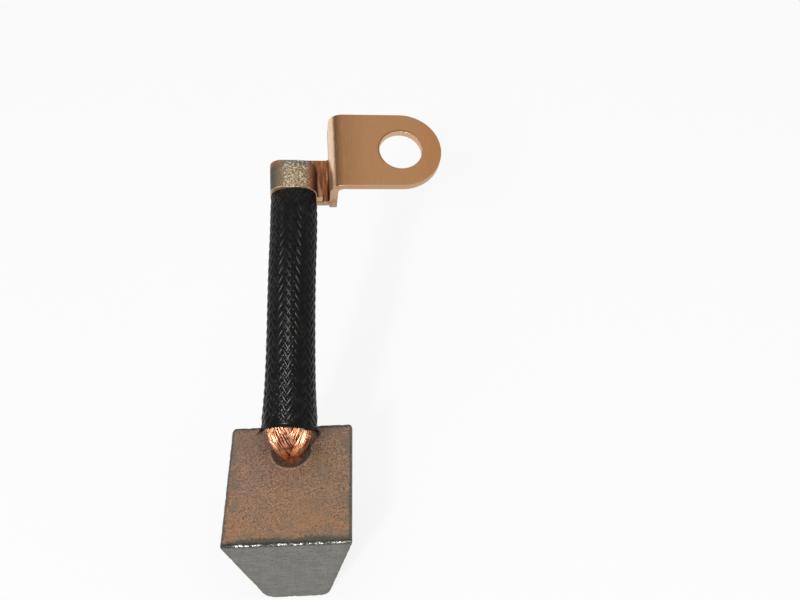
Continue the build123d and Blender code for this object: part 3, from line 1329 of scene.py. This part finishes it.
@dataclass
class CopperShunt(Assembly):
    """Round braid of fine wires, laid out wire by wire where it shows, over a plain core."""

    bundles: int = 8
    wires: int = 9
    wire_diameter: float = 0.225
    wire_faces: int = 5
    wire_steps: int = 34
    from_distance: float = 7.9
    to_distance: float = 17.5
    twist: float = 0.205
    bundle_fill: float = 0.9
    lift: float = 0.1275
    crown: float = 0.13
    bundle_sink: float = 0.14
    wire_rise: float = 0.05
    wire_stray: float = 0.022
    waver: float = 0.026
    waver_rate: float = 2.1
    neck_pinch: float = 0.5
    neck_end: float = 10.6
    neck_length: float = 2.2
    core_inset: float = 0.62
    hidden_inset: float = 0.12
    hidden_from: float = 15.5
    squeeze_length: float = 1.6
    crimp_clearance: float = 0.15
    eye_width: float = 3.9
    eye_height: float = 2.9
    eye_radius: float = 0.85
    end_wire: float = 0.27
    end_pitch: float = 0.92
    end_faces: int = 7
    end_short: float = 0.13
    end_long: float = 0.10
    end_root: float = 0.1
    core_faces: int = 40
    core_steps: int = 90
    braid_seed: int = 11
    end_seed: int = 5

    def build(self, lead: Lead) -> list[bpy.types.Object]:
        """Builds the braid, its core and its cut end.

        Args:
            lead: the route.

        Returns:
            The pieces.
        """
        copper = BareCopper().material()
        return [
            self.braid(lead, copper, Lay.RIGHT),
            self.braid(lead, copper, Lay.LEFT),
            self.core(lead, copper),
        ]

    def braid(self, lead: Lead, copper: bpy.types.Material, lay: Lay) -> bpy.types.Object:
        """Builds the bundles that wind one way, each a flat row of wires that weaves over and under.

        Args:
            lead: the route.
            copper: the finish.
            lay: the way that they wind.

        Returns:
            The piece.
        """
        bm = bmesh.new()
        chance = random.Random(self.braid_seed + lay.value)
        gap = 2 * pi / self.bundles
        span = self.to_distance - self.from_distance
        radius = self.wire_diameter / 2
        for bundle in range(self.bundles):
            sunk = chance.uniform(-self.bundle_sink, self.bundle_sink)
            for wire in range(self.wires):
                share = (wire + 0.5) / self.wires
                offset = (share - 0.5) * gap * self.bundle_fill
                stray = chance.uniform(-self.wire_stray, self.wire_stray)
                rise = sunk + chance.uniform(-self.wire_rise, self.wire_rise)
                phase = chance.uniform(0.0, 6.0)
                crown = self.crown * (1 - (2 * share - 1) ** 2)

                def place(across: float, along: float) -> Vector:
                    """Finds a point on one wire.

                    Args:
                        across: share of the way round the wire.
                        along: share of the way along it.

                    Returns:
                        The point.
                    """
                    distance = self.from_distance + span * along
                    wound = self.twist * (distance - self.from_distance)
                    angle = bundle * gap + offset + stray + lay.value * wound
                    angle += self.waver * sin(distance * self.waver_rate + phase)
                    crossing = 2 * bundle + lay.value * 2 * wound / gap + offset / gap
                    weave = sin(pi * (crossing % 4.0) / 2.0) * lay.value
                    width, depth = lead.shunt_size(distance)
                    inset = radius + self.lift * (1 - weave) - crown + rise
                    low = smooth((self.neck_end - distance) / self.neck_length)
                    inset += self.neck_pinch * max(0.0, -sin(angle)) * low
                    centre = lead.round_at(distance, angle, width / 2 - inset, depth / 2 - inset)
                    station = lead.at(distance)
                    outward = (centre - station.point).normalized()
                    beside = station.along.cross(outward)
                    turn = 2 * pi * across
                    return centre + (outward * cos(turn) + beside * sin(turn)) * radius

                add_tube(bm, self.wire_faces, self.wire_steps, place)
        bmesh.ops.recalc_face_normals(bm, faces=bm.faces)
        return show(f"shunt_wires_{lay.name.lower()}", bm, copper, Node.SHUNT)

    def core(self, lead: Lead, copper: bpy.types.Material) -> bpy.types.Object:
        """Builds the plain core, the squeezed end in the terminal and the cut wires of the tail.

        Args:
            lead: the route.
            copper: the finish.

        Returns:
            The piece.
        """
        bm = bmesh.new()
        squeeze_from = lead.band_front - self.squeeze_length

        def place(across: float, along: float) -> Vector:
            """Finds a point on the core.

            Args:
                across: share of the way round it.
                along: share of the way along it.

            Returns:
                The point.
            """
            distance = lead.band_front * along
            width, depth = lead.shunt_size(distance)
            inset = self.core_inset if distance < self.hidden_from else self.hidden_inset
            width, depth = width / 2 - inset, depth / 2 - inset
            if distance > squeeze_from:
                share = (distance - squeeze_from) / (lead.band_front - squeeze_from)
                width += (self.eye_width / 2 - self.crimp_clearance - width) * share
                depth += (self.eye_height / 2 - self.crimp_clearance - depth) * share
            return lead.round_at(distance, 2 * pi * across, width, depth)

        add_tube(bm, self.core_faces, self.core_steps, place)
        axes = Matrix((lead.across, lead.upward, lead.direction)).transposed().to_4x4()
        seat = Matrix.Translation(lead.crimp) @ axes
        self.squeezed_end(bm, lead, seat)
        self.cut_wires(bm, lead, seat)
        bmesh.ops.recalc_face_normals(bm, faces=bm.faces)
        return show("shunt_core", bm, copper, Node.SHUNT, 40.0)

    def squeezed_end(self, bm: bmesh.types.BMesh, lead: Lead, seat: Matrix) -> None:
        """Adds the braid's end, pressed to the shape of the terminal's inside.

        Args:
            bm: the mesh that takes it.
            lead: the route.
            seat: the crimp's place and axes.
        """
        size = Matrix.Diagonal((self.eye_width, self.eye_height, lead.band_length - 0.1, 1.0))
        body = bmesh.ops.create_cube(bm, size=1.0, matrix=size)["verts"]
        lengthwise = [edge for edge in edges_of(body) if abs((edge.verts[0].co - edge.verts[1].co).z) > 1]
        rounded = round_off(bm, lengthwise, self.eye_radius, 5)
        squeezed = dict.fromkeys([vertex for vertex in body if vertex.is_valid] + rounded)
        bmesh.ops.transform(bm, matrix=seat, verts=list(squeezed))

    def cut_wires(self, bm: bmesh.types.BMesh, lead: Lead, seat: Matrix) -> None:
        """Adds the ends of the wires that stand behind the terminal, cut to slightly different lengths.

        Args:
            bm: the mesh that takes them.
            lead: the route.
            seat: the crimp's place and axes.
        """
        chance = random.Random(self.end_seed)
        pitch = self.end_wire * self.end_pitch
        rows = int(self.eye_height / pitch)
        columns = int(self.eye_width / pitch)
        half_width = self.eye_width / 2 - self.hidden_inset
        half_height = self.eye_height / 2 - self.hidden_inset
        for row in range(-rows, rows + 1):
            for column in range(-columns, columns + 1):
                x = (column + 0.5 * (row % 2)) * pitch
                y = row * pitch * 0.87
                if (abs(x) / half_width) ** 3 + (abs(y) / half_height) ** 3 > 1:
                    continue
                length = lead.tail + chance.uniform(-self.end_short, self.end_long)
                shift = Vector((x, y, lead.band_length / 2 - self.end_root + length / 2))
                bmesh.ops.create_cone(
                    bm,
                    cap_ends=True,
                    segments=self.end_faces,
                    radius1=self.end_wire / 2,
                    radius2=self.end_wire / 2.15,
                    depth=length + self.end_root,
                    matrix=seat @ Matrix.Translation(shift),
                )


@dataclass
class InsulatingSleeve(Assembly):
    """Braided tube of flat yarns that opens and frays where it was cut."""

    yarns: int = 24
    pitch: float = 1.08
    thickness: float = 0.11
    weave: float = 0.04
    wall: float = 0.45
    fill: float = 0.93
    lay_angle: float = 0.63
    steps_per_pitch: int = 8
    yarn_faces: int = 8
    yarn_bed: float = 0.03
    yarn_arch: float = 0.3
    front_cut: float = 1.45
    front_cut_power: float = 1.2
    tube_faces: int = 64
    tube_steps: int = 401
    tube_start: float = 0.1
    tube_crowding: float = 1.6
    tube_ragged: float = 0.05
    band_clearance: float = 0.02
    yarn_start: float = 0.3
    yarn_fray: float = 0.08
    wander: float = 0.02
    wander_rate: float = 0.5
    hem: float = 0.5
    hem_middle: float = 0.15
    hem_rise: float = 1.15
    hem_turn: float = 0.12
    rim_roll: float = 0.22
    rim_length: float = 0.55
    fibre_count: int = 170
    stray_fibres: int = 12
    fibre_diameter: float = 0.045
    fibre_depth: float = 0.12
    fibre_faces: int = 4
    fibre_steps: int = 6
    mouth_lengths: tuple[float, float] = (0.5, 1.6)
    stray_lengths: tuple[float, float] = (0.4, 0.9)
    mouth_spreads: tuple[float, float] = (0.1, 0.9)
    stray_spreads: tuple[float, float] = (0.3, 0.6)
    yarn_seed: int = 31
    fibre_seed: int = 73

    def build(self, lead: Lead) -> list[bpy.types.Object]:
        """Builds the tube, both sets of yarns and the loose fibres.

        Args:
            lead: the route.

        Returns:
            The pieces.
        """
        varnish = VarnishedYarn().material()
        return [
            self.tube(lead, varnish),
            self.yarn_set(lead, varnish, Lay.RIGHT),
            self.yarn_set(lead, varnish, Lay.LEFT),
            self.fibres(lead, varnish),
        ]

    def cut_end(self, lead: Lead, angle: float) -> float:
        """Distance at which the sleeve starts, which is farther on in front, where it was pushed up."""
        return lead.mouth + self.front_cut * max(0.0, -sin(angle)) ** self.front_cut_power

    def roll(self, from_cut: float) -> float:
        """How far the rim is drawn in, at a distance from where the sleeve was cut."""
        return self.rim_roll * exp(-((from_cut / self.rim_length) ** 2))

    def tube(self, lead: Lead, varnish: bpy.types.Material) -> bpy.types.Object:
        """Builds the tube under the yarns, with a bulged, turned rim and an inside wall.

        Args:
            lead: the route.
            varnish: the finish.

        Returns:
            The piece.
        """
        bm = bmesh.new()

        def place(across: float, along: float) -> Vector:
            """Finds a point on the tube's walls, outside for the first half of the way, then inside.

            Args:
                across: share of the way round it.
                along: share of the way up the outside wall and down the inside one.

            Returns:
                The point.
            """
            outside = along <= 0.5
            share = (2 * along if outside else 2 - 2 * along) ** self.tube_crowding
            ragged = self.tube_ragged * noise.noise(Vector((across * 19.0, 3.0, 1.0)))
            start = self.cut_end(lead, 2 * pi * across) - self.tube_start + ragged
            from_cut = (lead.band_front - self.band_clearance - start) * share
            width, depth = lead.sleeve_size(start + from_cut)
            inset = self.wall + self.roll(from_cut)
            if outside:
                bulge = self.hem_rise * exp(-(((from_cut - self.hem_middle) / self.hem) ** 4))
                inset = (self.thickness + self.weave) * (1 - bulge) + self.roll(from_cut)
                inset += self.hem_turn * max(0.0, 1 - from_cut / self.hem_turn) ** 2
            return lead.round_at(start + from_cut, 2 * pi * across, width / 2 - inset, depth / 2 - inset)

        add_tube(bm, self.tube_faces, self.tube_steps, place)
        bmesh.ops.remove_doubles(bm, verts=bm.verts, dist=NEAR)
        bmesh.ops.recalc_face_normals(bm, faces=bm.faces)
        return show("sleeve_tube", bm, varnish, Node.SLEEVE, 60.0)

    def yarn_set(self, lead: Lead, varnish: bpy.types.Material, lay: Lay) -> bpy.types.Object:
        """Builds the flat yarns that wind one way, over two and under two of the others.

        Args:
            lead: the route.
            varnish: the finish.
            lay: the way that they wind.

        Returns:
            The piece.
        """
        bm = bmesh.new()
        chance = random.Random(self.yarn_seed + lay.value)
        gap = 2 * pi / self.yarns
        rate = gap / self.pitch
        for yarn in range(self.yarns):
            start = self.cut_end(lead, yarn * gap) + self.yarn_start
            start += chance.uniform(-self.yarn_fray, self.yarn_fray)
            span = lead.band_front - start
            wander = chance.uniform(-self.wander, self.wander)
            phase = chance.uniform(0.0, 6.0)

            def place(across: float, along: float) -> Vector:
                """Finds a point on one yarn, whose section is a low arch.

                Args:
                    across: share of the way round it.
                    along: share of the way along it.

                Returns:
                    The point.
                """
                distance = start + span * along
                wound = rate * (distance - lead.mouth)
                angle = yarn * gap + lay.value * wound + wander * sin(distance * self.wander_rate + phase)
                crossing = 2 * yarn + lay.value * 2 * wound / gap
                wave = sin(pi * (crossing % 4.0) / 2.0) * lay.value
                width, depth = lead.sleeve_size(distance)
                radius = (width * cos(angle) ** 2 + depth * sin(angle) ** 2) / 2 - self.roll(span * along)
                half_width = radius * gap * cos(self.lay_angle) * self.fill / 2
                turn = 2 * pi * across
                side = cos(turn) * half_width
                level = max(0.0, sin(turn)) ** 0.5 * self.thickness - self.yarn_bed
                station = lead.at(distance)
                outward = station.outward(angle)
                travel = station.along + station.around(angle) * (lay.value * rate * radius)
                beside = outward.cross(travel.normalized())
                base = radius - self.thickness - self.weave * (1 - wave)
                lower = self.thickness * self.yarn_arch * (side / half_width) ** 2
                return station.point + outward * (base + level - lower) + beside * side

            add_tube(bm, self.yarn_faces, round(span / self.pitch * self.steps_per_pitch), place)
        bmesh.ops.recalc_face_normals(bm, faces=bm.faces)
        return show(f"sleeve_yarns_{lay.name.lower()}", bm, varnish, Node.SLEEVE)

    def fibres(self, lead: Lead, varnish: bpy.types.Material) -> bpy.types.Object:
        """Builds the loose fibres round the mouth, most of them at its two sides, and a few strays.

        Args:
            lead: the route.
            varnish: the finish.

        Returns:
            The piece.
        """
        bm = bmesh.new()
        chance = random.Random(self.fibre_seed)
        for index in range(self.fibre_count):
            at_mouth = index < self.fibre_count - self.stray_fibres
            if at_mouth:
                angle = chance.choice((0.0, pi)) + chance.gauss(0.0, 0.5)
            else:
                angle = chance.uniform(0, 2 * pi)
            root = chance.uniform(lead.mouth + 2, lead.band_front - 3)
            if at_mouth:
                root = self.cut_end(lead, angle) + chance.uniform(0.0, 0.4)
            length = chance.uniform(*(self.mouth_lengths if at_mouth else self.stray_lengths))
            spread = chance.uniform(*(self.mouth_spreads if at_mouth else self.stray_spreads))
            drift = chance.uniform(-0.7, 0.7)
            curl = chance.uniform(-0.5, 0.5)
            station = lead.at(root)
            outward, around = station.outward(angle), station.around(angle)
            radius = lead.sleeve_size(root)[0] / 2 - self.fibre_depth
            if at_mouth:
                radius -= self.rim_roll * 0.7

            def place(across: float, along: float) -> Vector:
                """Finds a point on one fibre.

                Args:
                    across: share of the way round it.
                    along: share of the way along it.

                Returns:
                    The point.
                """
                reach = length * along
                centre = station.point + outward * (radius + spread * reach**1.4 * 0.7)
                centre -= station.along * (reach * 0.85)
                centre += around * (drift * reach * 0.6 + curl * reach * reach * 0.4)
                turn = 2 * pi * across
                thin = self.fibre_diameter / 2 * (1 - 0.5 * along)
                return centre + (outward * cos(turn) + around * sin(turn)) * thin

            add_tube(bm, self.fibre_faces, self.fibre_steps, place)
        bmesh.ops.recalc_face_normals(bm, faces=bm.faces)
        return show("sleeve_fibres", bm, varnish, Node.SLEEVE)


# Terminal


class Stretch(IntEnum):
    """Stretches of the terminal's fold line, straight ones and bends in turn, from the tongue's tip."""

    TONGUE = 0
    TONGUE_BEND = 1
    LEG = 2
    LEG_BEND = 3
    STRIP = 4
    BASE_BEND = 5
    WEST_WALL = 6
    WEST_BEND = 7
    TOP = 8
    EAST_BEND = 9
    EAST_WALL = 10
    FOOT_BEND = 11
    FOOT = 12


@dataclass(frozen=True)
class Fold:
    """One stretch of the fold line: where it starts, its length and heading, and its bend if it has one."""

    start: float
    length: float
    place: Vector
    heading: Vector
    bend: float = 0.0
    radius: float = 0.0


@dataclass
class Terminal(Assembly):
    """Terminal folded from one sheet: a round tongue with its hole, a leg, a strip and a wrapped band.

    Its flat pattern is cut out, its edges are broken, and then it is folded along one line.
    """

    sheet: float = 1.0
    eye_width: float = 3.9
    eye_height: float = 2.9
    eye_base_radius: float = 1.0
    eye_west_radius: float = 0.5
    eye_east_radius: float = 1.3
    band_length: float = 3.9
    strip_width: float = 6.2
    strip_step_radius: float = 0.6
    foot_reach: float = 1.75
    foot_gap: float = 0.1
    foot_skew: float = 9.0
    foot_bend_inside: float = 0.3
    leg_offset: float = 4.6
    leg_bend_inside: float = 0.4
    tongue_bend_inside: float = 0.8
    tongue_width: float = 10.5
    tongue_rise: float = 3.35
    tongue_lead: float = 0.3
    tongue_steps: int = 48
    step_faces: int = 6
    hole_diameter: float = 5.5
    hole_faces: int = 72
    hole_reach: float = 13.7
    edge_break: float = 0.13
    corner_overlap: float = 0.15
    corner_before: float = 0.4
    cut_spacing: float = 0.45
    bend_step: float = 9.0
    bend_spacing: float = 0.12
    dents: float = 0.035
    folds: list[Fold] = field(init=False)
    total: float = field(init=False)

    def start(self, stretch: Stretch, share: float = 0.0) -> float:
        """Distance along the fold line at a share of one of its stretches."""
        fold = self.folds[stretch]
        return fold.start + fold.length * share

    def tongue_front(self) -> float:
        """Place of the tongue's front edge on the way across the sheet."""
        return -self.band_length / 2 - self.tongue_lead

    def fold_line(self) -> None:
        """Works out the line along which the sheet is folded, as lines and arcs."""
        side, top, bottom = self.eye_width / 2, self.eye_height / 2, -self.eye_height / 2
        foot = bottom + self.foot_gap
        corners = [
            Vector((self.hole_reach + self.tongue_width / 2, self.tongue_rise)),
            Vector((self.leg_offset, self.tongue_rise)),
            Vector((self.leg_offset, bottom)),
            Vector((-side, bottom)),
            Vector((-side, top)),
            Vector((side, top)),
            Vector((side, foot)),
            Vector((side + self.foot_reach, foot)),
        ]
        radii = [
            self.tongue_bend_inside + self.sheet,
            self.leg_bend_inside,
            self.eye_base_radius,
            self.eye_west_radius,
            self.eye_east_radius,
            self.foot_bend_inside + self.sheet,
        ]
        self.folds = []
        start = corners[0]
        distance = 0.0
        for before, corner, after, radius in zip(corners, corners[1:], corners[2:], radii):
            inward = (corner - before).normalized()
            onward = (after - corner).normalized()
            bend = -inward.angle_signed(onward)
            reach = radius * tan(abs(bend) / 2)
            length = (corner - start).length - reach
            self.folds.append(Fold(distance, length, start, inward))
            distance += length
            start = start + inward * length
            self.folds.append(Fold(distance, radius * abs(bend), start, inward, bend, radius))
            distance += radius * abs(bend)
            start = corner + onward * reach
        length = (corners[-1] - start).length
        self.folds.append(Fold(distance, length, start, onward))
        self.total = distance + length

    def fold(self, distance: float, depth: float) -> Vector:
        """Finds a point of the folded sheet in the fold's own plane.

        Args:
            distance: along the fold line from the tip of the tongue.
            depth: into the sheet from the face that grips the braid.

        Returns:
            The point, with two values.
        """
        fold = next((one for one in reversed(self.folds) if distance >= one.start - 1e-9), self.folds[0])
        run = distance - fold.start
        left = Vector((-fold.heading.y, fold.heading.x))
        if not fold.bend:
            return fold.place + fold.heading * run + left * depth
        radius = fold.radius if fold.bend > 0 else -fold.radius
        angle = run / radius
        turned = left * cos(angle) + Vector((-left.y, left.x)) * sin(angle)
        return fold.place + left * radius - turned * radius + turned * depth

    def outline(self) -> list[tuple[float, float]]:
        """Lists the corners of the flat pattern, round its tongue and along the strip, band and foot.

        Returns:
            Pairs of the way along the fold and the way back.
        """
        front = self.tongue_front()
        half = self.tongue_width / 2
        middle = front + half
        band = self.band_length / 2
        strip_back = self.strip_width - band
        leg_end = self.start(Stretch.LEG_BEND)
        band_start = self.start(Stretch.BASE_BEND)
        skew = self.band_length * tan(radians(self.foot_skew))
        radius = self.strip_step_radius
        turns = [pi * step / self.tongue_steps for step in range(self.tongue_steps + 1)]
        quarter = [pi / 2 * step / self.step_faces for step in range(self.step_faces + 1)]
        corners = [(half - half * sin(turn), middle - half * cos(turn)) for turn in reversed(turns)]
        corners += [(leg_end, front), (leg_end, -band), (self.total, -band), (self.total - skew, band)]
        corners += [
            (band_start + radius - radius * sin(turn), band + radius - radius * cos(turn)) for turn in quarter
        ]
        corners += [
            (band_start - radius + radius * cos(turn), strip_back - radius + radius * sin(turn))
            for turn in quarter
        ]
        return corners + [(leg_end, strip_back), (leg_end, front + self.tongue_width)]

    def pattern(self) -> bmesh.types.BMesh:
        """Cuts out the flat pattern as a sheet with broken edges.

        Returns:
            The flat sheet, with the way along the fold as x, the way back as y and the depth as z.
        """
        bm = bmesh.new()
        corners = [bm.verts.new((x, y, 0.0)) for x, y in self.outline()]
        for pair in zip(corners, corners[1:] + corners[:1]):
            bm.edges.new(pair)
        half = self.tongue_width / 2
        hole = Matrix.Translation((half, self.tongue_front() + half, 0.0))
        bmesh.ops.create_circle(bm, segments=self.hole_faces, radius=self.hole_diameter / 2, matrix=hole)
        bmesh.ops.remove_doubles(bm, verts=bm.verts, dist=NEAR)
        bmesh.ops.triangle_fill(bm, use_beauty=True, edges=bm.edges[:])
        bmesh.ops.recalc_face_normals(bm, faces=bm.faces)
        if bm.faces[0].normal.z > 0:
            bmesh.ops.reverse_faces(bm, faces=bm.faces)
        lifted = bmesh.ops.extrude_face_region(bm, geom=bm.faces[:], use_keep_orig=True)["geom"]
        raised = [item for item in lifted if isinstance(item, bmesh.types.BMVert)]
        bmesh.ops.translate(bm, vec=(0.0, 0.0, self.sheet), verts=raised)
        bmesh.ops.recalc_face_normals(bm, faces=bm.faces)
        rims = [edge for edge in bm.edges if edge.is_manifold and edge.calc_face_angle(0.0) > 0.7]
        round_off(bm, rims, self.edge_break, 3)
        return bm

    def leg_corner(self, bm: bmesh.types.BMesh) -> None:
        """Adds the corner of the leg that stands clear of the bend in front of the strip and stays straight.

        Args:
            bm: the flat sheet.
        """
        layer = bm.verts.layers.float.new("leg_corner")
        start = self.start(Stretch.LEG_BEND) - self.corner_before
        end = self.start(Stretch.LEG_BEND) + self.leg_bend_inside + self.sheet
        width = self.tongue_lead + self.corner_overlap
        middle = Vector(((start + end) / 2, self.tongue_front() + width / 2, self.sheet / 2))
        size = Matrix.Diagonal((end - start, width, self.sheet - 0.004, 1.0))
        made = bmesh.ops.create_cube(bm, size=1.0, matrix=Matrix.Translation(middle) @ size)["verts"]
        rounded = round_off(bm, edges_of(made), 0.1, 2)
        for vertex in [vertex for vertex in made if vertex.is_valid] + rounded:
            vertex[layer] = 1.0

    def cut_grid(self, bm: bmesh.types.BMesh) -> None:
        """Cuts the flat sheet into small faces, closer together where it bends.

        Args:
            bm: the flat sheet.
        """
        places = []
        for fold in self.folds:
            spacing = self.cut_spacing
            if fold.bend:
                spacing = max(self.bend_spacing, fold.radius * radians(self.bend_step))
            places += [fold.start, *evenly(fold.start, fold.start + fold.length, spacing)]
        cut_across(bm, 0, sorted(place for place in places if 0.05 < place < self.total - 0.02))
        front = self.tongue_front()
        cut_across(bm, 1, evenly(front, front + self.tongue_width, self.cut_spacing))

    def bend_up(self, bm: bmesh.types.BMesh, lead: Lead) -> None:
        """Stores the flat sheet's map, folds the sheet and sets it on the end of the lead.

        Args:
            bm: the flat sheet.
            lead: the route.
        """
        flat_map = bm.loops.layers.uv.new("flat")
        for face in bm.faces:
            for loop in face.loops:
                x, y, _ = loop.vert.co
                loop[flat_map].uv = (x / self.total, (y + FLAT_ORIGIN) / self.total)
        flatness = bm.verts.layers.float.new("flatness")
        corner_layer = bm.verts.layers.float["leg_corner"]
        bm.normal_update()
        leg_end = self.start(Stretch.LEG_BEND)
        for vertex in bm.verts:
            along, aside, depth = vertex.co
            vertex[flatness] = abs(vertex.normal.z)
            if along > self.start(Stretch.BASE_BEND):
                depth += self.dents * noise.noise(Vector((along * 1.1, aside * 1.1, depth * 0.3 + 7.0)))
            if vertex[corner_layer] > 0.5:
                flat = self.fold(min(along, leg_end), depth)
                flat.y -= max(0.0, along - leg_end)
            else:
                flat = self.fold(along, depth)
            vertex.co = lead.crimp + lead.across * flat.x + lead.upward * flat.y + lead.direction * aside
        bmesh.ops.recalc_face_normals(bm, faces=bm.faces)

    def finish(self) -> WornSheet:
        """Places the sheet's colours on its fold line.

        Returns:
            The finish.
        """
        return WornSheet(
            length=self.total,
            tongue_end=self.start(Stretch.TONGUE_BEND) / self.total,
            bend_dark=self.start(Stretch.TONGUE_BEND, 0.42) / self.total,
            bend_end=self.start(Stretch.LEG) / self.total,
            leg_end=self.start(Stretch.LEG_BEND) / self.total,
            strip_end=self.start(Stretch.BASE_BEND) / self.total,
            band_west=self.start(Stretch.WEST_BEND, 0.72) / self.total,
            band_top=(self.start(Stretch.TOP) + 0.3) / self.total,
            band_east=self.start(Stretch.EAST_BEND, 0.1) / self.total,
            band_end=(self.start(Stretch.EAST_WALL) + 0.4) / self.total,
            hole_along=self.tongue_width / 2,
            hole_aside=self.tongue_width / 2 + self.tongue_front(),
            hole_radius=self.hole_diameter / 2,
        )

    def build(self, lead: Lead) -> list[bpy.types.Object]:
        """Cuts out the sheet, folds it and dresses it.

        Args:
            lead: the route.

        Returns:
            The piece.
        """
        self.fold_line()
        bm = self.pattern()
        self.cut_grid(bm)
        self.leg_corner(bm)
        self.bend_up(bm, lead)
        return [show("terminal_sheet", bm, self.finish().material(), Node.TERMINAL, 50.0)]


# Studio


@dataclass(frozen=True)
class Softbox:
    """A rectangular area lamp that looks at the brush, with its sizes in metres."""

    name: str
    place: Triple
    size: tuple[float, float]
    power: float
    reflected: bool
    diffuse: bool = True


@dataclass
class Studio:
    """Pale floor, soft lamps and the camera at the photograph's angle, with sizes in metres."""

    target: Triple = (0.0, 0.012, 0.022)
    boxes: tuple[Softbox, ...] = (
        Softbox("key_front_left", (-0.10, -0.27, 0.30), (0.024, 0.08), 0.66, True),
        Softbox("glint_front_left", (-0.105, -0.32, 0.235), (0.03, 0.09), 2.5, True, False),
        Softbox("top", (0.02, 0.03, 0.42), (0.35, 0.35), 0.36, False),
        Softbox("right", (0.34, -0.10, 0.22), (0.22, 0.22), 0.12, False),
    )
    world: float = 0.42
    floor_half: float = 1.5
    floor_white: Colour = (0.95, 0.95, 0.95)
    floor_glow: float = 0.84
    sensor: float = 36.0
    lens: float = 41.2
    camera_place: Triple = (0.0135706, -0.0611561, 0.1130173)
    camera_turn: Triple = (42.6939, 1.0479, -1.9203)
    clip: tuple[float, float] = (0.005, 20.0)

    def build(self) -> None:
        """Builds the floor, the lamps, the world and the camera."""
        self.floor()
        for box in self.boxes:
            self.lamp(box)
        self.surroundings()
        self.camera()

    def floor(self) -> None:
        """Builds a wide white floor that keeps the brush's shadow and shows as a pale background."""
        bm = bmesh.new()
        bmesh.ops.create_grid(bm, x_segments=1, y_segments=1, size=self.floor_half)
        floor = new_object("floor", bm)
        shader = Shader("floor_white")
        shader.finish(Base_Color=self.floor_white, Roughness=0.9)
        rays = shader.node("ShaderNodeLightPath").outputs
        seen = Amount(shader, rays["Is Camera Ray"]).most(Amount(shader, rays["Is Glossy Ray"]))
        seen = seen.most(Amount(shader, rays["Is Transmission Ray"]))
        glow = shader.node("ShaderNodeEmission", {}, {"Color": (1.0, 1.0, 1.0), "Strength": 1.0})
        surfaces = {0: seen * self.floor_glow, 1: shader.surface.outputs[0], 2: glow.outputs[0]}
        blend = shader.node("ShaderNodeMixShader", {}, surfaces)
        shader.feed(shader.tree.nodes["Material Output"].inputs["Surface"], blend.outputs[0])
        floor.data.materials.append(shader.material)
        LOG.info("floor laid")

    def lamp(self, box: Softbox) -> None:
        """Hangs one softbox.

        Args:
            box: the softbox.
        """
        data = bpy.data.lights.new(box.name, "AREA")
        data.shape = "RECTANGLE"
        data.size, data.size_y = box.size
        data.energy = box.power
        lamp = bpy.data.objects.new(box.name, data)
        lamp.location = box.place
        lamp.visible_glossy = box.reflected
        lamp.visible_diffuse = box.diffuse
        aim = Vector(self.target) - Vector(box.place)
        lamp.rotation_euler = aim.to_track_quat("-Z", "Y").to_euler()
        bpy.context.scene.collection.objects.link(lamp)

    def surroundings(self) -> None:
        """Sets an even world, which is white for the rays that show a background."""
        world = bpy.data.worlds.new("studio")
        bpy.context.scene.world = world
        world.use_nodes = True
        nodes, links = world.node_tree.nodes, world.node_tree.links
        background = nodes["Background"]
        background.inputs["Color"].default_value = (1.0, 1.0, 1.0, 1.0)
        rays = nodes.new("ShaderNodeLightPath")
        seen = rays.outputs["Is Camera Ray"]
        for name in ("Is Glossy Ray", "Is Transmission Ray"):
            either = nodes.new("ShaderNodeMath")
            either.operation = "MAXIMUM"
            links.new(seen, either.inputs[0])
            links.new(rays.outputs[name], either.inputs[1])
            seen = either.outputs[0]
        strength = nodes.new("ShaderNodeMapRange")
        links.new(seen, strength.inputs["Value"])
        strength.inputs["To Min"].default_value = self.world
        strength.inputs["To Max"].default_value = 1.0
        links.new(strength.outputs[0], background.inputs["Strength"])

    def camera(self) -> None:
        """Sets the camera where the photograph's lines of sight meet."""
        data = bpy.data.cameras.new("camera")
        data.sensor_width = self.sensor
        data.lens = self.lens
        data.clip_start, data.clip_end = self.clip
        camera = bpy.data.objects.new("camera", data)
        camera.location = self.camera_place
        camera.rotation_euler = tuple(radians(angle) for angle in self.camera_turn)
        bpy.context.scene.collection.objects.link(camera)
        bpy.context.scene.camera = camera
        bpy.context.scene.view_settings.view_transform = "Standard"
        LOG.info("camera set")


def main() -> None:
    """Loads the frame, dresses every node and sets the studio."""
    logging.basicConfig(level=logging.INFO, format="%(name)s: %(message)s")
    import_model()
    lead = Lead()
    lead.lay_out()
    for assembly in (CarbonBlock(), CopperShunt(), InsulatingSleeve(), Terminal()):
        for piece in assembly.build(lead):
            LOG.info("dressed %s", piece.name)
    Studio().build()


if __name__ == "__main__":
    main()
